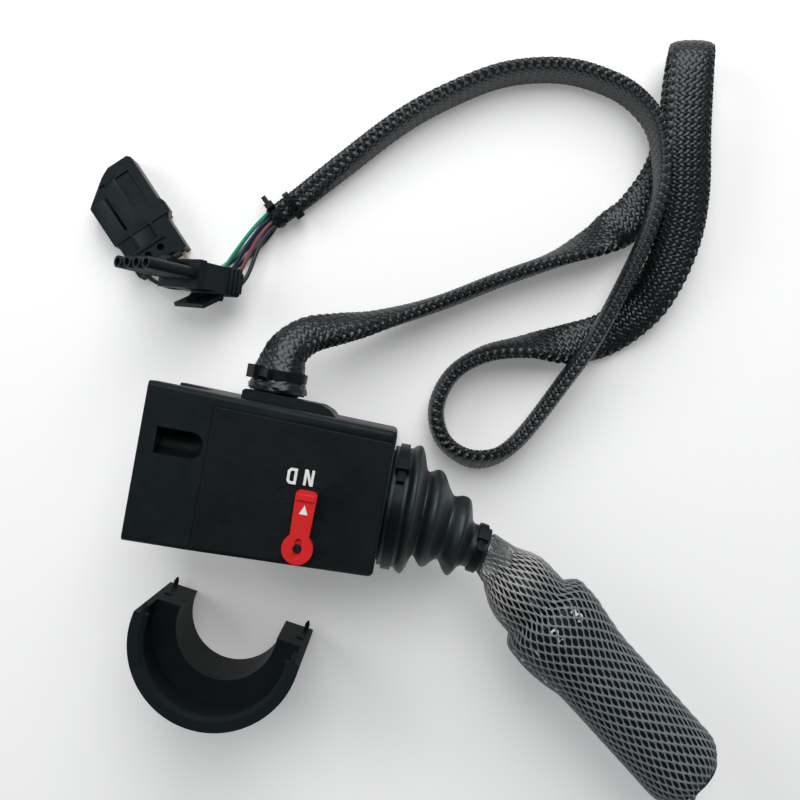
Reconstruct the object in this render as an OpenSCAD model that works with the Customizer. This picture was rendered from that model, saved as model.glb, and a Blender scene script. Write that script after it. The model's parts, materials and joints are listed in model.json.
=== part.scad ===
// Column gear selector: a moulded housing that clamps to a steering column, with a bellows-sealed
// shift lever, a twist grip, a neutral lock lever and a sleeved lead. The origin is on the column axis,
// halfway along the housing's column end; +X points to the lever and +Z out of the front cover.

/* [Column seat] */
// Diameter of the steering column
column_d = 50; // [46:0.5:52]
// Length of the half-round seat along the column
seat_l = 40; // [38:1:44]
// Wider opening beside the seat
throat_d = 67; // [64:0.5:68]
// Outside diameter of the round column end
collar_d = 80; // [79:0.5:82]
// Distance from the column axis to the parting face
part_x = 3.5; // [2.5:0.5:5]
// Distance of the two clamp screws from the column axis
screw_z = 35; // [34.5:0.25:35.5]
// Place of the two clamp screws along the column
screw_y = 10.8; // [8:0.2:14]

/* [Housing] */
// Length from the parting face to the lever end
box_l = 114; // [110:1:124]
// Width at the column end
box_w = 73; // [71:0.5:78]
// Width at the lever end
lever_end_w = 66; // [65:0.5:70]
// Depth from front to back
box_d = 84; // [82:0.5:90]
// Moulded wall thickness
shell_t = 3; // [2.6:0.2:3.4]
// Thickness of the wall at the lever end
end_t = 5; // [4.6:0.2:6]
// Length of the sloping column end
slope_l = 31; // [29:0.5:33]
// Rounding of the housing's edges
edge_r = 2.5; // [1.5:0.25:3]

/* [Covers] */
// Thickness of the front cover
cover_t = 3; // [2.6:0.2:3.6]
// Height of the front cover above the housing
cover_proud = 0.6; // [0.4:0.1:1]
// Margin of the front cover along three sides
cover_margin = 1.3; // [1.1:0.1:1.6]
// Width of the ledge on the cable side of the front cover
ledge_w = 5.2; // [4.4:0.2:6]
// Thickness of the back cover
back_t = 3; // [2.6:0.2:3.6]

/* [Lever] */
// Distance from the column axis to the lever's pivot
pivot_x = 88; // [86:0.5:90]
// Sideways place of the pivot and the bellows
lever_y = -4; // [-5:0.5:-3]
// Diameter of the pivot pin
pin_d = 8; // [7:0.5:9]
// Sideways lean of the straight part of the lever
rod_tilt = 9.5; // [8.5:0.25:10.5]
// Length from the pivot to the bend
rod_reach = 85; // [84:0.5:88]
// Angle of the grip to the housing
grip_angle = 38; // [34:0.5:42]
// Outside diameter of the lever tube
tube_d = 14; // [13:0.25:14.5]
// Bore of the lever tube
tube_bore = 9; // [8:0.25:10]
// Radius of the bend in the lever tube
bend_r = 18; // [16:0.5:20]
// Shift angle each way from neutral
shift_deg = 12; // [10:0.5:13]
// Radius of the detent sector
sector_r = 26; // [25:0.25:27]

/* [Bellows] */
// Diameter of the housing's spigot
spigot_d = 54; // [52:0.5:55]
// Diameter of the first fold
fold1_d = 62.8; // [61:0.2:64]
// Diameter of the second fold
fold2_d = 47.6; // [46:0.2:49]
// Diameter of the third fold
fold3_d = 39; // [38:0.2:41]
// Wall of the rubber
rubber_t = 2.2; // [1.8:0.1:2.4]

/* [Grip] */
// Start of the hub after the bend
hub_x = 9.4; // [8:0.2:11]
// Start of the twist grip after the bend
grip_x = 38.5; // [37:0.1:41]
// End of the twist grip after the bend
grip_end = 150; // [146:0.5:156]
// Diameter of the hub
hub_d = 33; // [32:0.25:34]
// Diameter of the flared start of the grip
flare_d = 46; // [45:0.25:47]
// Diameter of the grip
grip_d = 40; // [39:0.25:41]
// Thickness of the protective net
net_t = 0.8; // [0.6:0.1:1]

/* [Neutral lock] */
// Distance from the column axis to the lock shaft
lock_x = 82.6; // [81:0.2:84]
// Distance of the lock shaft from the side of the housing
lock_inset = 8.57; // [8.4:0.01:9]
// Length of the lock lever from its shaft
lock_l = 26; // [24:0.5:28]
// Width of the lock lever
lock_w = 9.6; // [9:0.2:11]
// Thickness of the lock lever
lock_t = 4; // [3.4:0.2:5]
// Diameter of the lock shaft
lock_d = 6; // [5.6:0.1:6.2]

/* [Lead] */
// Place of the cable boot along the housing
boot_x = 56; // [54:0.5:58]
// Diameter of the boot at its foot
boot_d = 27; // [25:0.5:28]
// Length of the boot
boot_l = 14; // [13:0.5:15]
// Diameter of one wire
wire_d = 2.2; // [1.8:0.1:2.4]
// Spacing of the connector ways
way_pitch = 7.6; // [7.4:0.1:7.8]

/* [Hidden] */
$fn = 48;

// Clearances: a seat that only touches, a running fit and a gap between moving faces
seat_c = 0.1;
run_c = 0.05;
move_c = 0.3;

// Housing planes
end_x = part_x + box_l;
end_in = end_x - end_t;
front_z = box_d / 2;
back_z = -front_z;
cavity_x = throat_d / 2 + shell_t;
taper = atan((box_w - lever_end_w) / 2 / box_l);
cover_x = part_x + slope_l;
cover_low = front_z + cover_proud - cover_t;
lip_t = 2.4;
lip_w = 3;
lip_low = cover_low - lip_t;
back_in = back_z + back_t;
back_inset = shell_t / 2;

// Column end
seat_y = box_w / 2 - seat_l;
rim_t = 4;
pocket_r = 6;
pocket_x = part_x + 7.5;
pocket_l = 16;
screw_r = 2.75;
guide_pin_r = 1.2;
guide_pin_z = 36.2;
guide_inset = 5;

// Pivot group
ear_t = 2.5;
yoke_half = 13;
flange_t = 1.2;
ear_in = yoke_half + flange_t + move_c;
ear_half = 10;
web_x = pivot_x - sector_r - 10;
base_t = 2.5;
base_half = 22;
base_hole_r = 18;
base_screw = 18.5;
m4_r = 2;
m3_r = 1.5;
bush_r = pin_d / 2 + 2;
yoke_r = bush_r + 4;
socket_r = tube_d / 2 + 3.5;
socket_l = 20;
tube_x = yoke_r + 1.2;
sector_t = 8;
notch_r = 2.4;
clip_t = 1;
magnet_d = 7;
magnet_t = 3;
post_l = 15;
post_x = -8;
spigot_l = 9.5;
spigot_t = 3.5;

// Lever bend
bend = grip_angle - rod_tilt;
bend_t = bend_r * tan(bend / 2);
tube_end = grip_end - 9;

// Circuit board
board_z = back_in + 9;
board_t = 1.6;
board_x0 = cavity_x + 9;
board_x1 = end_in - 12;
board_half = 25;
post_in = 4;

// Cable plate
plate_x0 = boot_x - 14.2;
plate_x1 = boot_x + 31.4;
plate_t = 4.5;
plate_half = 17;
plate_screw = 11;
boot_bore = 5;

// Neutral lock
lock_y = lock_inset - half_w(lock_x);
lock_z = front_z + cover_proud + move_c;
lock_boss_r = lock_d / 2 + 2.2;
lock_boss_low = 27;
pawl_z = 13;
pawl_t = 3;

// Floor on which everything lies, and the loose column cover's place
floor_z = back_z;
loose_pos = [51.9, -78.2, floor_z];
loose_turn = -8.4;

// Connectors: sizes, and where they lie
way_count = 4;
con_half = way_pitch * (way_count - 1) / 2 + 3.4;
tube_r = 3;
tower_l = 56;
tower_block = 28;
tower_h = 13;
tower_pos = [14.6, 84.4, floor_z + 11.2];
tower_turn = [90, -50, 182];
shroud_l = 56;
shroud_h = 14;
shroud_pos = [-17.5, 96, floor_z];
shroud_turn = 133.5;
seal_l = 5;
seal_out = 2.5;

// Route of the flat sleeve: x, y, z, then the compass angle and the tilt of its wide side, and its half
// width and half thickness
SLEEVE = [
  [56, 0, 0, 0, 0, 10.5, 9.5], [58, 62, -1, -10, 0, 10.5, 8], [66, 71, -6, -40, 10, 10.5, 6.5],
  [80, 77.5, -14, -60, 42, 11, 5], [98, 85.5, -23, -64, 70, 11, 4.2], [127, 100.3, -30.2, -61, 86, 11, 3.6],
  [156, 118, -30.7, -59, 87, 11, 3.5], [180, 131.8, -30.5, -57, 80, 11, 3.5],
  [203, 147.5, -31.5, -50, 42, 11, 3.5], [213, 157, -36.5, -45, 10, 11, 3.5],
  [221, 166, -38, -40, 4, 11, 3.5], [231, 187, -38.2, -20, 0, 11, 3.5], [235, 212, -38.2, -5, 0, 11, 3.5],
  [234, 236, -38.2, 0, 0, 11, 3.5], [232.8, 247, -34.2, -2, 0, 11, 3.5],
  [231.5, 250.5, -25.5, -4, 0, 11, 3.5],
  [230.2, 247, -17, -6, 0, 11, 3.5], [230.5, 236, -13, -8, 0, 11, 3.5], [234.8, 205, -14, 0, 0, 11, 3.5],
  [240.3, 178, -18, 0, 0, 11, 3.5], [241.5, 154, -23, -5, 8, 11, 3.5], [237, 130, -29, -20, 15, 11, 3.5],
  [229.5, 114.5, -34.5, -35, 12, 11, 3.5], [214.5, 99.5, -38, -52, 0, 11, 3.5],
  [195, 91, -34, -72, 28, 11, 3.5], [175, 86, -30.6, -76, 65, 11, 3.5],
  [155, 78.5, -30.6, -62, 80, 11, 3.5], [140, 65, -31, -40, 88, 11, 3.5],
  [135, 46, -31, 0, 88, 11, 3.5], [143, 29.5, -31, 45, 85, 11, 3.5], [161, 24, -30.5, 100, 75, 11, 3.5],
  [178.5, 36, -30.7, 140, 85, 11, 3.5], [199, 76, -23.5, 155, 88, 11, 3.5],
  [208.8, 98, -20.5, 158, 88, 11, 3.5], [221.5, 138, -21.5, 164, 88, 11, 3.5],
  [226.5, 161, -21.5, 170, 88, 11, 3.5], [227.2, 182, -21, 177, 86, 11, 3.5],
  [221.5, 207, -25.5, 200, 70, 11, 3.5],
  [208, 222, -30, 220, 55, 11, 3.5], [190, 228.5, -31.4, 245, 48, 11, 3.5],
  [167, 229.8, -31.6, 270, 46, 11, 3.5], [139, 222.5, -31.6, 297, 46, 11, 3.5],
  [112, 206.3, -31.5, 306, 50, 10.5, 3.8], [90, 188.5, -31.7, 311, 58, 9.5, 4.2],
  [66, 163, -32.8, 314, 66, 8, 4.6], [48, 143.5, -34.6, 315, 70, 6, 5], [33.5, 128.5, -35.3, 315, 60, 5, 4.8]
];
SLEEVE_SIDES = 10;

// Wires: sides of each and rings along it
WIRE_SIDES = 8;
WIRE_RINGS = 7;

black = [0.10, 0.11, 0.115];
dark = [0.07, 0.075, 0.08];
rubber = [0.13, 0.13, 0.135];
steel = [0.62, 0.63, 0.65];
bronze = [0.70, 0.52, 0.30];
red = [0.85, 0.16, 0.15];
nylon = [0.16, 0.16, 0.165];
board_green = [0.08, 0.32, 0.20];

// Half width of the housing at x
function half_w(x) = (box_w + (lever_end_w - box_w) * (x - part_x) / box_l) / 2;
// Turns of a point about the axes, in the order in which rotate() applies them
function turn_x(p, a) = [p.x, p.y * cos(a) - p.z * sin(a), p.y * sin(a) + p.z * cos(a)];
function turn_y(p, a) = [p.x * cos(a) + p.z * sin(a), p.y, p.z * cos(a) - p.x * sin(a)];
function turn_z(p, a) = [p.x * cos(a) - p.y * sin(a), p.x * sin(a) + p.y * cos(a), p.z];
function turn(p, a) = turn_z(turn_y(turn_x(p, a.x), a.y), a.z);
function unit(v) = v / norm(v);
function bezier(p, t) =
  pow(1 - t, 3) * p[0] + 3 * t * pow(1 - t, 2) * p[1] + 3 * t * t * (1 - t) * p[2] + pow(t, 3) * p[3];
function soft_power(v, e) = sign(v) * pow(abs(v), e);
// One ring of a flat or round tube: centre, direction, wide axis and half sizes
function ring(c, along, wide, a, b, sides) =
  let(w = unit(wide - along * (wide * along)), n = cross(along, w))
  [for (k = [0 : sides - 1]) let(q = 360 * k / sides)
    c + w * a * soft_power(cos(q), 0.8) + n * b * soft_power(sin(q), 0.8)];
function compass(az, tilt) = [cos(tilt) * cos(az), cos(tilt) * sin(az), sin(tilt)];
function step_dir(path, i) = unit(path[min(i + 1, len(path) - 1)] - path[max(i - 1, 0)]);

// Solid between rings of equal length, closed at both ends
module loft(rings) {
  n = len(rings[0]);
  last = len(rings) - 1;
  sides = [for (i = [0 : last - 1], k = [0 : n - 1], h = [0, 1])
    h == 0 ? [i * n + k, (i + 1) * n + k, i * n + (k + 1) % n]
           : [i * n + (k + 1) % n, (i + 1) * n + k, (i + 1) * n + (k + 1) % n]];
  start_cap = [for (k = [0 : n - 1]) k];
  end_cap = [for (k = [n - 1 : -1 : 0]) last * n + k];
  polyhedron(points = [for (r = rings, p = r) p], faces = concat(sides, [start_cap, end_cap]), convexity = 8);
}

// Tapered block with the housing's plan between two heights, set in from its sides
module plan_block(x0, x1, z0, z1, low_in, high_in) {
  translate([0, 0, z0]) linear_extrude(z1 - z0)
    polygon([[x0, low_in - half_w(x0)], [x1, low_in - half_w(x1)],
             [x1, half_w(x1) - high_in], [x0, half_w(x0) - high_in]]);
}

module along_y(y0, y1, r) {
  translate([0, y0, 0]) rotate([-90, 0, 0]) cylinder(h = y1 - y0, r = r);
}

module along_x(x0, x1, r) {
  translate([x0, 0, 0]) rotate([0, 90, 0]) cylinder(h = x1 - x0, r = r);
}

// Revolved profile of [radius, place] points about the X axis
module revolve_x(profile) {
  rotate([90, 0, 90]) rotate_extrude() polygon(profile);
}

module pipe_x(x0, x1, r_out, r_in) {
  revolve_x([[r_in, x0], [r_out, x0], [r_out, x1], [r_in, x1]]);
}

module at_pivot() { translate([pivot_x, lever_y, 0]) children(); }
module along_rod() { at_pivot() rotate([0, 0, -rod_tilt]) children(); }
module along_grip() { along_rod() translate([rod_reach, 0, 0]) rotate([0, 0, -bend]) children(); }
module both_sides() {
  children();
  mirror([0, 1, 0]) children();
}
module front_and_back() {
  children();
  mirror([0, 0, 1]) children();
}

// Positions of the four screws of the back cover and of the four screws of the circuit board
function back_screw_places() = [for (x = [cavity_x + 4.2, end_in - 4.2], s = [-1, 1])
  [x, s * (half_w(x) - shell_t - 3.2)]];
function board_screw_places() = [for (x = [board_x0 + post_in, board_x1 - post_in], s = [-1, 1])
  [x, s * (board_half - post_in)]];

// Cable tie: band, ratchet head and cut tail, about the X axis
module cable_tie(r, width, thick, head_turn, tail_l) {
  head_w = width * 1.4;
  head_h = thick * 3;
  pipe_x(-width / 2, width / 2, r + thick, r);
  rotate([head_turn, 0, 0]) {
    difference() {
      translate([-head_w / 2, -head_w / 2, r + thick * 0.6]) cube([head_w, head_w, head_h]);
      translate([-width / 2, head_w / 2 - 1, r + thick * 1.5]) cube([width, 2, thick]);
    }
    translate([-width * 0.4, -head_w / 2 - tail_l, r + thick * 1.2]) cube([width * 0.8, tail_l + 0.5, thick]);
  }
}

// Wall plane of the cable side, turned with the housing's taper
module on_cable_wall(x) { translate([x, half_w(x) + 0.06, 0]) rotate([0, 0, -taper]) children(); }

module housing_body() {
  corner = edge_r;
  crown = 0.04;
  stations = [[part_x - 6, collar_d / 2, 0], [cover_x, front_z, crown],
              [end_x - corner, front_z - crown / 2, 0]];
  hull()
    for (s = stations, a = [-1, 1], b = [-1, 1])
      translate([s[0], a * (half_w(s[0]) - corner + s[2]), b * (s[1] - corner)]) sphere(r = corner, $fn = 20);
}

module screw_pocket() {
  translate([0, screw_y, screw_z]) {
    along_x(pocket_x, pocket_x + pocket_l, pocket_r);
    translate([pocket_x, -pocket_r, 0]) cube([pocket_l, 2 * pocket_r, 20]);
    translate([pocket_x + pocket_l, 0, 0]) {
      sphere(r = pocket_r);
      cylinder(r = pocket_r, h = 20);
    }
    along_x(part_x - 1, pocket_x + 1, screw_r);
  }
}

module housing() {
  color(black) difference() {
    union() {
      difference() {
        housing_body();
        plan_block(cavity_x, end_in, back_z - 1, lip_low, shell_t, shell_t);
      }
      translate([0, lever_y, 0]) difference() {
        along_x(end_x - 0.5, end_x + spigot_l, spigot_d / 2);
        along_x(end_x, end_x + spigot_l + 1, spigot_d / 2 - spigot_t);
      }
      for (p = back_screw_places())
        translate([p.x, p.y, back_in]) cylinder(r = 4, h = 12);
    }
    // Column end: parting face, seat, wider throat and the catches' sockets
    translate([-100 + part_x, -100, -100]) cube([100, 200, 200]);
    along_y(seat_y - 0.5, box_w, column_d / 2);
    along_y(-box_w, seat_y, throat_d / 2);
    front_and_back() screw_pocket();
    front_and_back() for (y = [-box_w / 2 + guide_inset, box_w / 2 - guide_inset])
      translate([0, y, guide_pin_z]) along_x(part_x - 1, part_x + 6, guide_pin_r + move_c);
    // Seat and opening of the front cover
    plan_block(cover_x, end_x - cover_margin + seat_c, cover_low, front_z + 5,
               cover_margin - seat_c, ledge_w - seat_c);
    plan_block(max(cover_x, cavity_x) + lip_w, end_x - cover_margin - lip_w, lip_low - 1, front_z,
               cover_margin + lip_w, ledge_w + lip_w);
    translate([lock_x, lock_y, lip_low - 1]) cylinder(r = lock_boss_r + move_c, h = 10);
    // Seat of the back cover
    plan_block(cavity_x - back_inset, end_x - back_inset, back_z - 1, back_in, back_inset, back_inset);
    // Passages of the lever and the lead
    translate([0, lever_y, 0]) along_x(end_in - 1, end_x + 1, base_hole_r);
    on_cable_wall(boot_x) along_y(-2 * shell_t, 5, boot_bore + 2 + seat_c);
    for (z = [-plate_screw, plate_screw])
      on_cable_wall(plate_x0) translate([plate_x1 - plate_x0 - 11, 0, z]) along_y(-2 * shell_t, 1, m3_r);
    // Screw holes
    for (p = back_screw_places()) translate([p.x, p.y, back_in - 1]) cylinder(r = m3_r, h = 12);
    for (y = [-base_screw, base_screw], z = [-base_screw, base_screw])
      translate([0, lever_y + y, z]) along_x(end_in - 1, end_x - 0.8, m4_r);
  }
}

module front_cover() {
  x1 = end_x - cover_margin;
  top = front_z + cover_proud;
  chamfer = 0.6;
  open_x0 = max(cover_x, cavity_x) + lip_w;
  hook_l = 8;
  hook_t = 1.8;
  color(dark) difference() {
    union() {
      hull() {
        plan_block(cover_x + seat_c, x1, cover_low, top - chamfer, cover_margin, ledge_w);
        plan_block(cover_x + seat_c + chamfer, x1 - chamfer, cover_low, top,
                   cover_margin + chamfer, ledge_w + chamfer);
      }
      translate([lock_x, lock_y, lock_boss_low]) cylinder(r = lock_boss_r, h = cover_low - lock_boss_low + 1);
      // Snap hooks under the edge of the opening
      for (x = [open_x0 + 6, x1 - lip_w - 6 - hook_l]) {
        wall = half_w(x + hook_l) - ledge_w - lip_w - move_c;
        translate([x, wall - hook_t, lip_low - 2]) cube([hook_l, hook_t, cover_low - lip_low + 3]);
        translate([x, wall - hook_t, lip_low - 2]) cube([hook_l, hook_t + 1, 2 - move_c]);
      }
      low_hook = cover_margin + lip_w + move_c - half_w(open_x0 + 6 + hook_l);
      translate([open_x0 + 6, low_hook, lip_low - 2]) cube([hook_l, hook_t, cover_low - lip_low + 3]);
      translate([open_x0 + 6, low_hook - 1, lip_low - 2]) cube([hook_l, hook_t + 1, 2 - move_c]);
    }
    translate([lock_x, lock_y, 0]) {
      cylinder(r = lock_d / 2 + run_c, h = 100);
      translate([0, 0, top - 2.2]) cylinder(r = lock_d / 2 + 1.6, h = 5);
      // Shallow track under the tip of the lock lever
      translate([0, 0, top - 0.4]) rotate([0, 0, 78]) rotate_extrude(angle = 40)
        translate([lock_l - 9, 0]) square([11, 5]);
    }
  }
}

module back_cover() {
  color(dark) difference() {
    union() {
      plan_block(cavity_x - back_inset + seat_c, end_x - back_inset - seat_c, back_z, back_in - seat_c,
                 back_inset + seat_c, back_inset + seat_c);
      for (p = board_screw_places())
        translate([p.x, p.y, back_z + 1]) cylinder(r = 3.5, h = board_z - back_z - 1);
      // Stiffening ribs on the inner face
      for (y = [-9, 9])
        translate([board_x0 + 10, y - 0.8, back_in - 1]) cube([board_x1 - board_x0 - 20, 1.6, 4]);
    }
    for (p = board_screw_places()) translate([p.x, p.y, board_z - 7]) cylinder(r = m3_r, h = 20);
    for (p = back_screw_places()) translate([p.x, p.y, back_z - 1]) {
      cylinder(r = m3_r + seat_c, h = 10);
      cylinder(r = 3 + seat_c, h = 2.8);
    }
  }
}

module pan_screw(head_r, head_h, shank_r, shank_l) {
  difference() {
    union() {
      cylinder(r = head_r, h = head_h);
      translate([0, 0, -shank_l]) cylinder(r = shank_r, h = shank_l + 0.5);
    }
    translate([0, 0, head_h - 1]) cylinder(r = head_r * 0.5, h = 2, $fn = 6);
  }
}

module back_screws() {
  color(steel) for (p = back_screw_places())
    translate([p.x, p.y, back_z + 1.8]) mirror([0, 0, 1]) pan_screw(3, 1.7, m3_r - 0.02, 10);
}

// Loose half of the column clamp, standing on its seat end
module column_cover() {
  r_out = collar_d / 2;
  r_in = r_out - shell_t;
  seat_r = column_d / 2;
  sleeve_r = seat_r + shell_t;
  big = 200;
  boss_z = box_w / 2 - screw_y;
  color(black) translate(loose_pos) rotate([0, 0, loose_turn]) {
    difference() {
      intersection() {
        translate([-big / 2, -big + part_x, 0]) cube([big, big, big]);
        difference() {
          union() {
            difference() {
              cylinder(r = r_out, h = box_w);
              translate([0, 0, -1]) cylinder(r = r_in, h = box_w + 2);
            }
            // Rim at the throat end
            translate([0, 0, box_w - rim_t]) cylinder(r = r_out - 0.5, h = rim_t);
            // Shelf and sleeve of the column seat, with ribs under the shelf
            translate([0, 0, seat_l - shell_t]) cylinder(r = r_out - 0.5, h = shell_t);
            cylinder(r = sleeve_r, h = seat_l);
            for (a = [-150 : 30 : -30]) rotate([0, 0, a])
              translate([seat_r + 1, -1, 2]) cube([r_out - seat_r - 2, 2, seat_l - 4]);
            // Parting flanges with the screw bosses
            for (s = [-1, 1]) {
              translate([s * (seat_r + r_out) / 2 - (r_out - seat_r - 1) / 2, part_x - shell_t, 0])
                cube([r_out - seat_r - 1, shell_t, seat_l]);
              translate([s * screw_z - 4, part_x - 16, boss_z - 6])
                cube([8, 16, min(12, seat_l - boss_z + 5)]);
            }
          }
          translate([0, 0, -1]) cylinder(r = seat_r, h = seat_l + 2);
          translate([0, 0, seat_l]) cylinder(r = r_in, h = box_w - rim_t - seat_l);
          translate([0, 0, seat_l]) cylinder(r = throat_d / 2, h = box_w);
          // Lead-in cone at the rim
          translate([0, 0, box_w - 1.6]) cylinder(r1 = throat_d / 2, r2 = throat_d / 2 + 1.7, h = 1.7);
          // Nothing stands proud of the round outside
          difference() {
            translate([0, 0, -1]) cylinder(r = big, h = box_w + 2);
            translate([0, 0, -2]) cylinder(r = r_out, h = box_w + 4);
          }
        }
      }
      for (s = [-1, 1])
        translate([s * screw_z, part_x + 1, boss_z]) rotate([90, 0, 0]) cylinder(r = 2.1, h = 14);
    }
    // Guide pins on the parting faces
    for (s = [-1, 1], z = [guide_inset, box_w - guide_inset / 2 - 0.2])
      translate([s * guide_pin_z, part_x - 2, z]) rotate([-90, 0, 0]) {
        cylinder(r = guide_pin_r, h = 5);
        translate([0, 0, 5]) cylinder(r1 = guide_pin_r, r2 = 0.5, h = 1.8);
      }
  }
}

module pivot_bracket() {
  color(steel) at_pivot() {
    base_x = end_in - pivot_x - base_t;
    difference() {
      union() {
        translate([base_x, -base_half, -base_half]) cube([base_t, 2 * base_half, 2 * base_half]);
        both_sides() translate([web_x - pivot_x, ear_in, -ear_half])
          cube([base_x - web_x + pivot_x + 1, ear_t, 2 * ear_half]);
        translate([web_x - pivot_x, -ear_in - ear_t, -ear_half])
          cube([base_t, 2 * (ear_in + ear_t), 2 * ear_half]);
        both_sides() along_y(ear_in, ear_in + ear_t, ear_half + 1.5);
      }
      along_x(base_x - 1, base_x + base_t + 1, base_hole_r);
      along_y(-50, 50, pin_d / 2);
      for (y = [-base_screw, base_screw], z = [-base_screw, base_screw])
        translate([0, y, z]) along_x(base_x - 1, base_x + base_t + 1, m4_r + seat_c);
      // Lightening holes in the ears
      translate([web_x - pivot_x + 12, 0, 0]) along_y(-50, 50, 5);
      translate([0, 0, -ear_half + 3]) along_x(web_x - pivot_x - 1, web_x - pivot_x + base_t + 1, m3_r);
    }
  }
}

module bracket_screws() {
  color(steel) for (y = [-base_screw, base_screw], z = [-base_screw, base_screw])
    translate([end_in - base_t, lever_y + y, z]) rotate([0, -90, 0])
      pan_screw(3.2, 2.2, m4_r - 0.02, base_t + end_t - 1.2);
}

module pivot_pin() {
  groove_y = ear_in + ear_t;
  color(steel) at_pivot() difference() {
    along_y(-groove_y - 3.5, groove_y + 3.5, pin_d / 2 - 0.02);
    both_sides() difference() {
      along_y(groove_y, groove_y + clip_t + 2 * seat_c, pin_d);
      along_y(groove_y - 1, groove_y + clip_t + 1, pin_d / 2 - 0.8);
    }
  }
}

module retaining_clip(r_in, r_out, thick) {
  difference() {
    cylinder(r = r_out, h = thick);
    translate([0, 0, -1]) cylinder(r = r_in, h = thick + 2);
    translate([0, -r_in * 0.8, -1]) cube([r_out + 1, r_in * 1.6, thick + 2]);
  }
}

module pin_clips() {
  y = ear_in + ear_t + seat_c;
  color(steel) at_pivot() both_sides() translate([0, y, 0]) rotate([-90, 0, 0])
    retaining_clip(pin_d / 2 - 0.78, pin_d / 2 + 3, clip_t);
}

// Leaf spring whose nose rests in the detent sector
module detent_spring() {
  strip = 0.8;
  nose_x = -sector_r + notch_r - 1.6;
  foot_x = web_x - pivot_x + base_t;
  half_h = ear_half - 1;
  color(steel) at_pivot() difference() {
    translate([0, 3, 0]) rotate([90, 0, 0]) linear_extrude(6) {
      polygon([[foot_x, -half_h], [foot_x + strip, -half_h], [foot_x + strip, -half_h + 5],
               [nose_x - 2, -2.2], [nose_x - 2, 2.2], [nose_x - 2.8, half_h - 4],
               [nose_x - 2.8 - strip, half_h - 4],
               [nose_x - 2 - strip, -2], [foot_x, -half_h + 5.5]]);
      translate([nose_x - 2, 0]) circle(r = 2);
    }
    translate([0, 0, -ear_half + 3]) along_x(foot_x - 1, foot_x + 2, m3_r);
  }
}

module circuit_board() {
  color(board_green) difference() {
    translate([board_x0, -board_half, board_z]) cube([board_x1 - board_x0, 2 * board_half, board_t]);
    for (p = board_screw_places()) translate([p.x, p.y, board_z - 1]) cylinder(r = m3_r + seat_c, h = 5);
  }
}

module board_parts() {
  top = board_z + board_t;
  color([0.2, 0.2, 0.22]) {
    // Relays, processor, lead socket and the position sensors under the shift magnet
    for (y = [-20, -9]) translate([board_x0 + post_in + 8, y, top]) cube([16, 9, 9]);
    translate([board_x1 - 2 * post_in - 16, 5, top]) cube([12, 12, 1.6]);
    translate([boot_x - 3, 15.5, top]) cube([10, 9, 6]);
    for (x = [-5, 0, 5]) translate([pivot_x + post_x + x - 1.5, lever_y - 2, top]) cube([3, 4, 1.5]);
  }
}

module board_screws() {
  color(steel) for (p = board_screw_places())
    translate([p.x, p.y, board_z + board_t]) pan_screw(2.8, 2, m3_r - 0.02, 7.5);
}

// Wires from the boot down to the board's socket
module inner_loom() {
  r = boot_bore - seat_c;
  bend_in = 9;
  socket_top = board_z + board_t + 6;
  y_turn = 20;
  color(dark) translate([boot_x, 0, 0]) {
    along_y(y_turn + bend_in, half_w(boot_x) + plate_t + boot_l - 1, r);
    translate([0, y_turn + bend_in, -bend_in]) rotate([0, -90, 0]) rotate([0, 0, -90])
      rotate_extrude(angle = 90) translate([bend_in, 0]) circle(r = r);
    translate([0, y_turn, socket_top]) cylinder(r = r, h = -bend_in - socket_top);
  }
}

module cable_plate() {
  l = plate_x1 - plate_x0;
  slope = 8;
  color(black) on_cable_wall(plate_x0) difference() {
    translate([0, 0, -plate_half]) linear_extrude(2 * plate_half)
      polygon([[0, 0], [l, 0], [l - slope * 0.4, plate_t * 0.6], [l - slope, plate_t], [1, plate_t],
               [0, plate_t - 1]]);
    translate([boot_x - plate_x0, 0, 0]) along_y(-5, 20, boot_d / 2 - 3 + move_c);
    for (z = [-plate_screw, plate_screw]) translate([l - 11, 0, z]) {
      along_y(-5, 20, m3_r + seat_c);
      along_y(plate_t - 1.5, 20, 3 + seat_c);
    }
  }
}

module plate_screws() {
  l = plate_x1 - plate_x0;
  color(steel) on_cable_wall(plate_x0) for (z = [-plate_screw, plate_screw])
    translate([l - 11, plate_t - 1.5, z]) rotate([-90, 0, 0])
      pan_screw(3, 1.4, m3_r - 0.02, plate_t + shell_t - 1.5);
}

// Rubber boot on which the sleeve is tied
module cable_boot() {
  foot = boot_d / 2;
  collar = foot - 3;
  y0 = half_w(boot_x) + 0.6;
  y1 = half_w(boot_x) + plate_t + 0.8;
  color(rubber) translate([boot_x, 0, 0]) rotate([-90, 0, 0]) rotate_extrude()
    polygon([[boot_bore, y0], [collar, y0], [collar, y1], [foot, y1], [foot, y1 + 3], [foot - 1.6, y1 + 6],
             [foot - 1.6, y1 + 9], [foot - 2.4, y1 + boot_l - 1], [boot_bore, y1 + boot_l - 1]]);
}

function boot_end() = half_w(boot_x) + plate_t + boot_l - 0.2;

module boot_tie() {
  color(nylon) translate([boot_x, boot_end() - 4.4, 0]) rotate([0, 0, 90])
    cable_tie(boot_d / 2 - 1.3, 4.6, 1.3, -50, 9);
}

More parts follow.
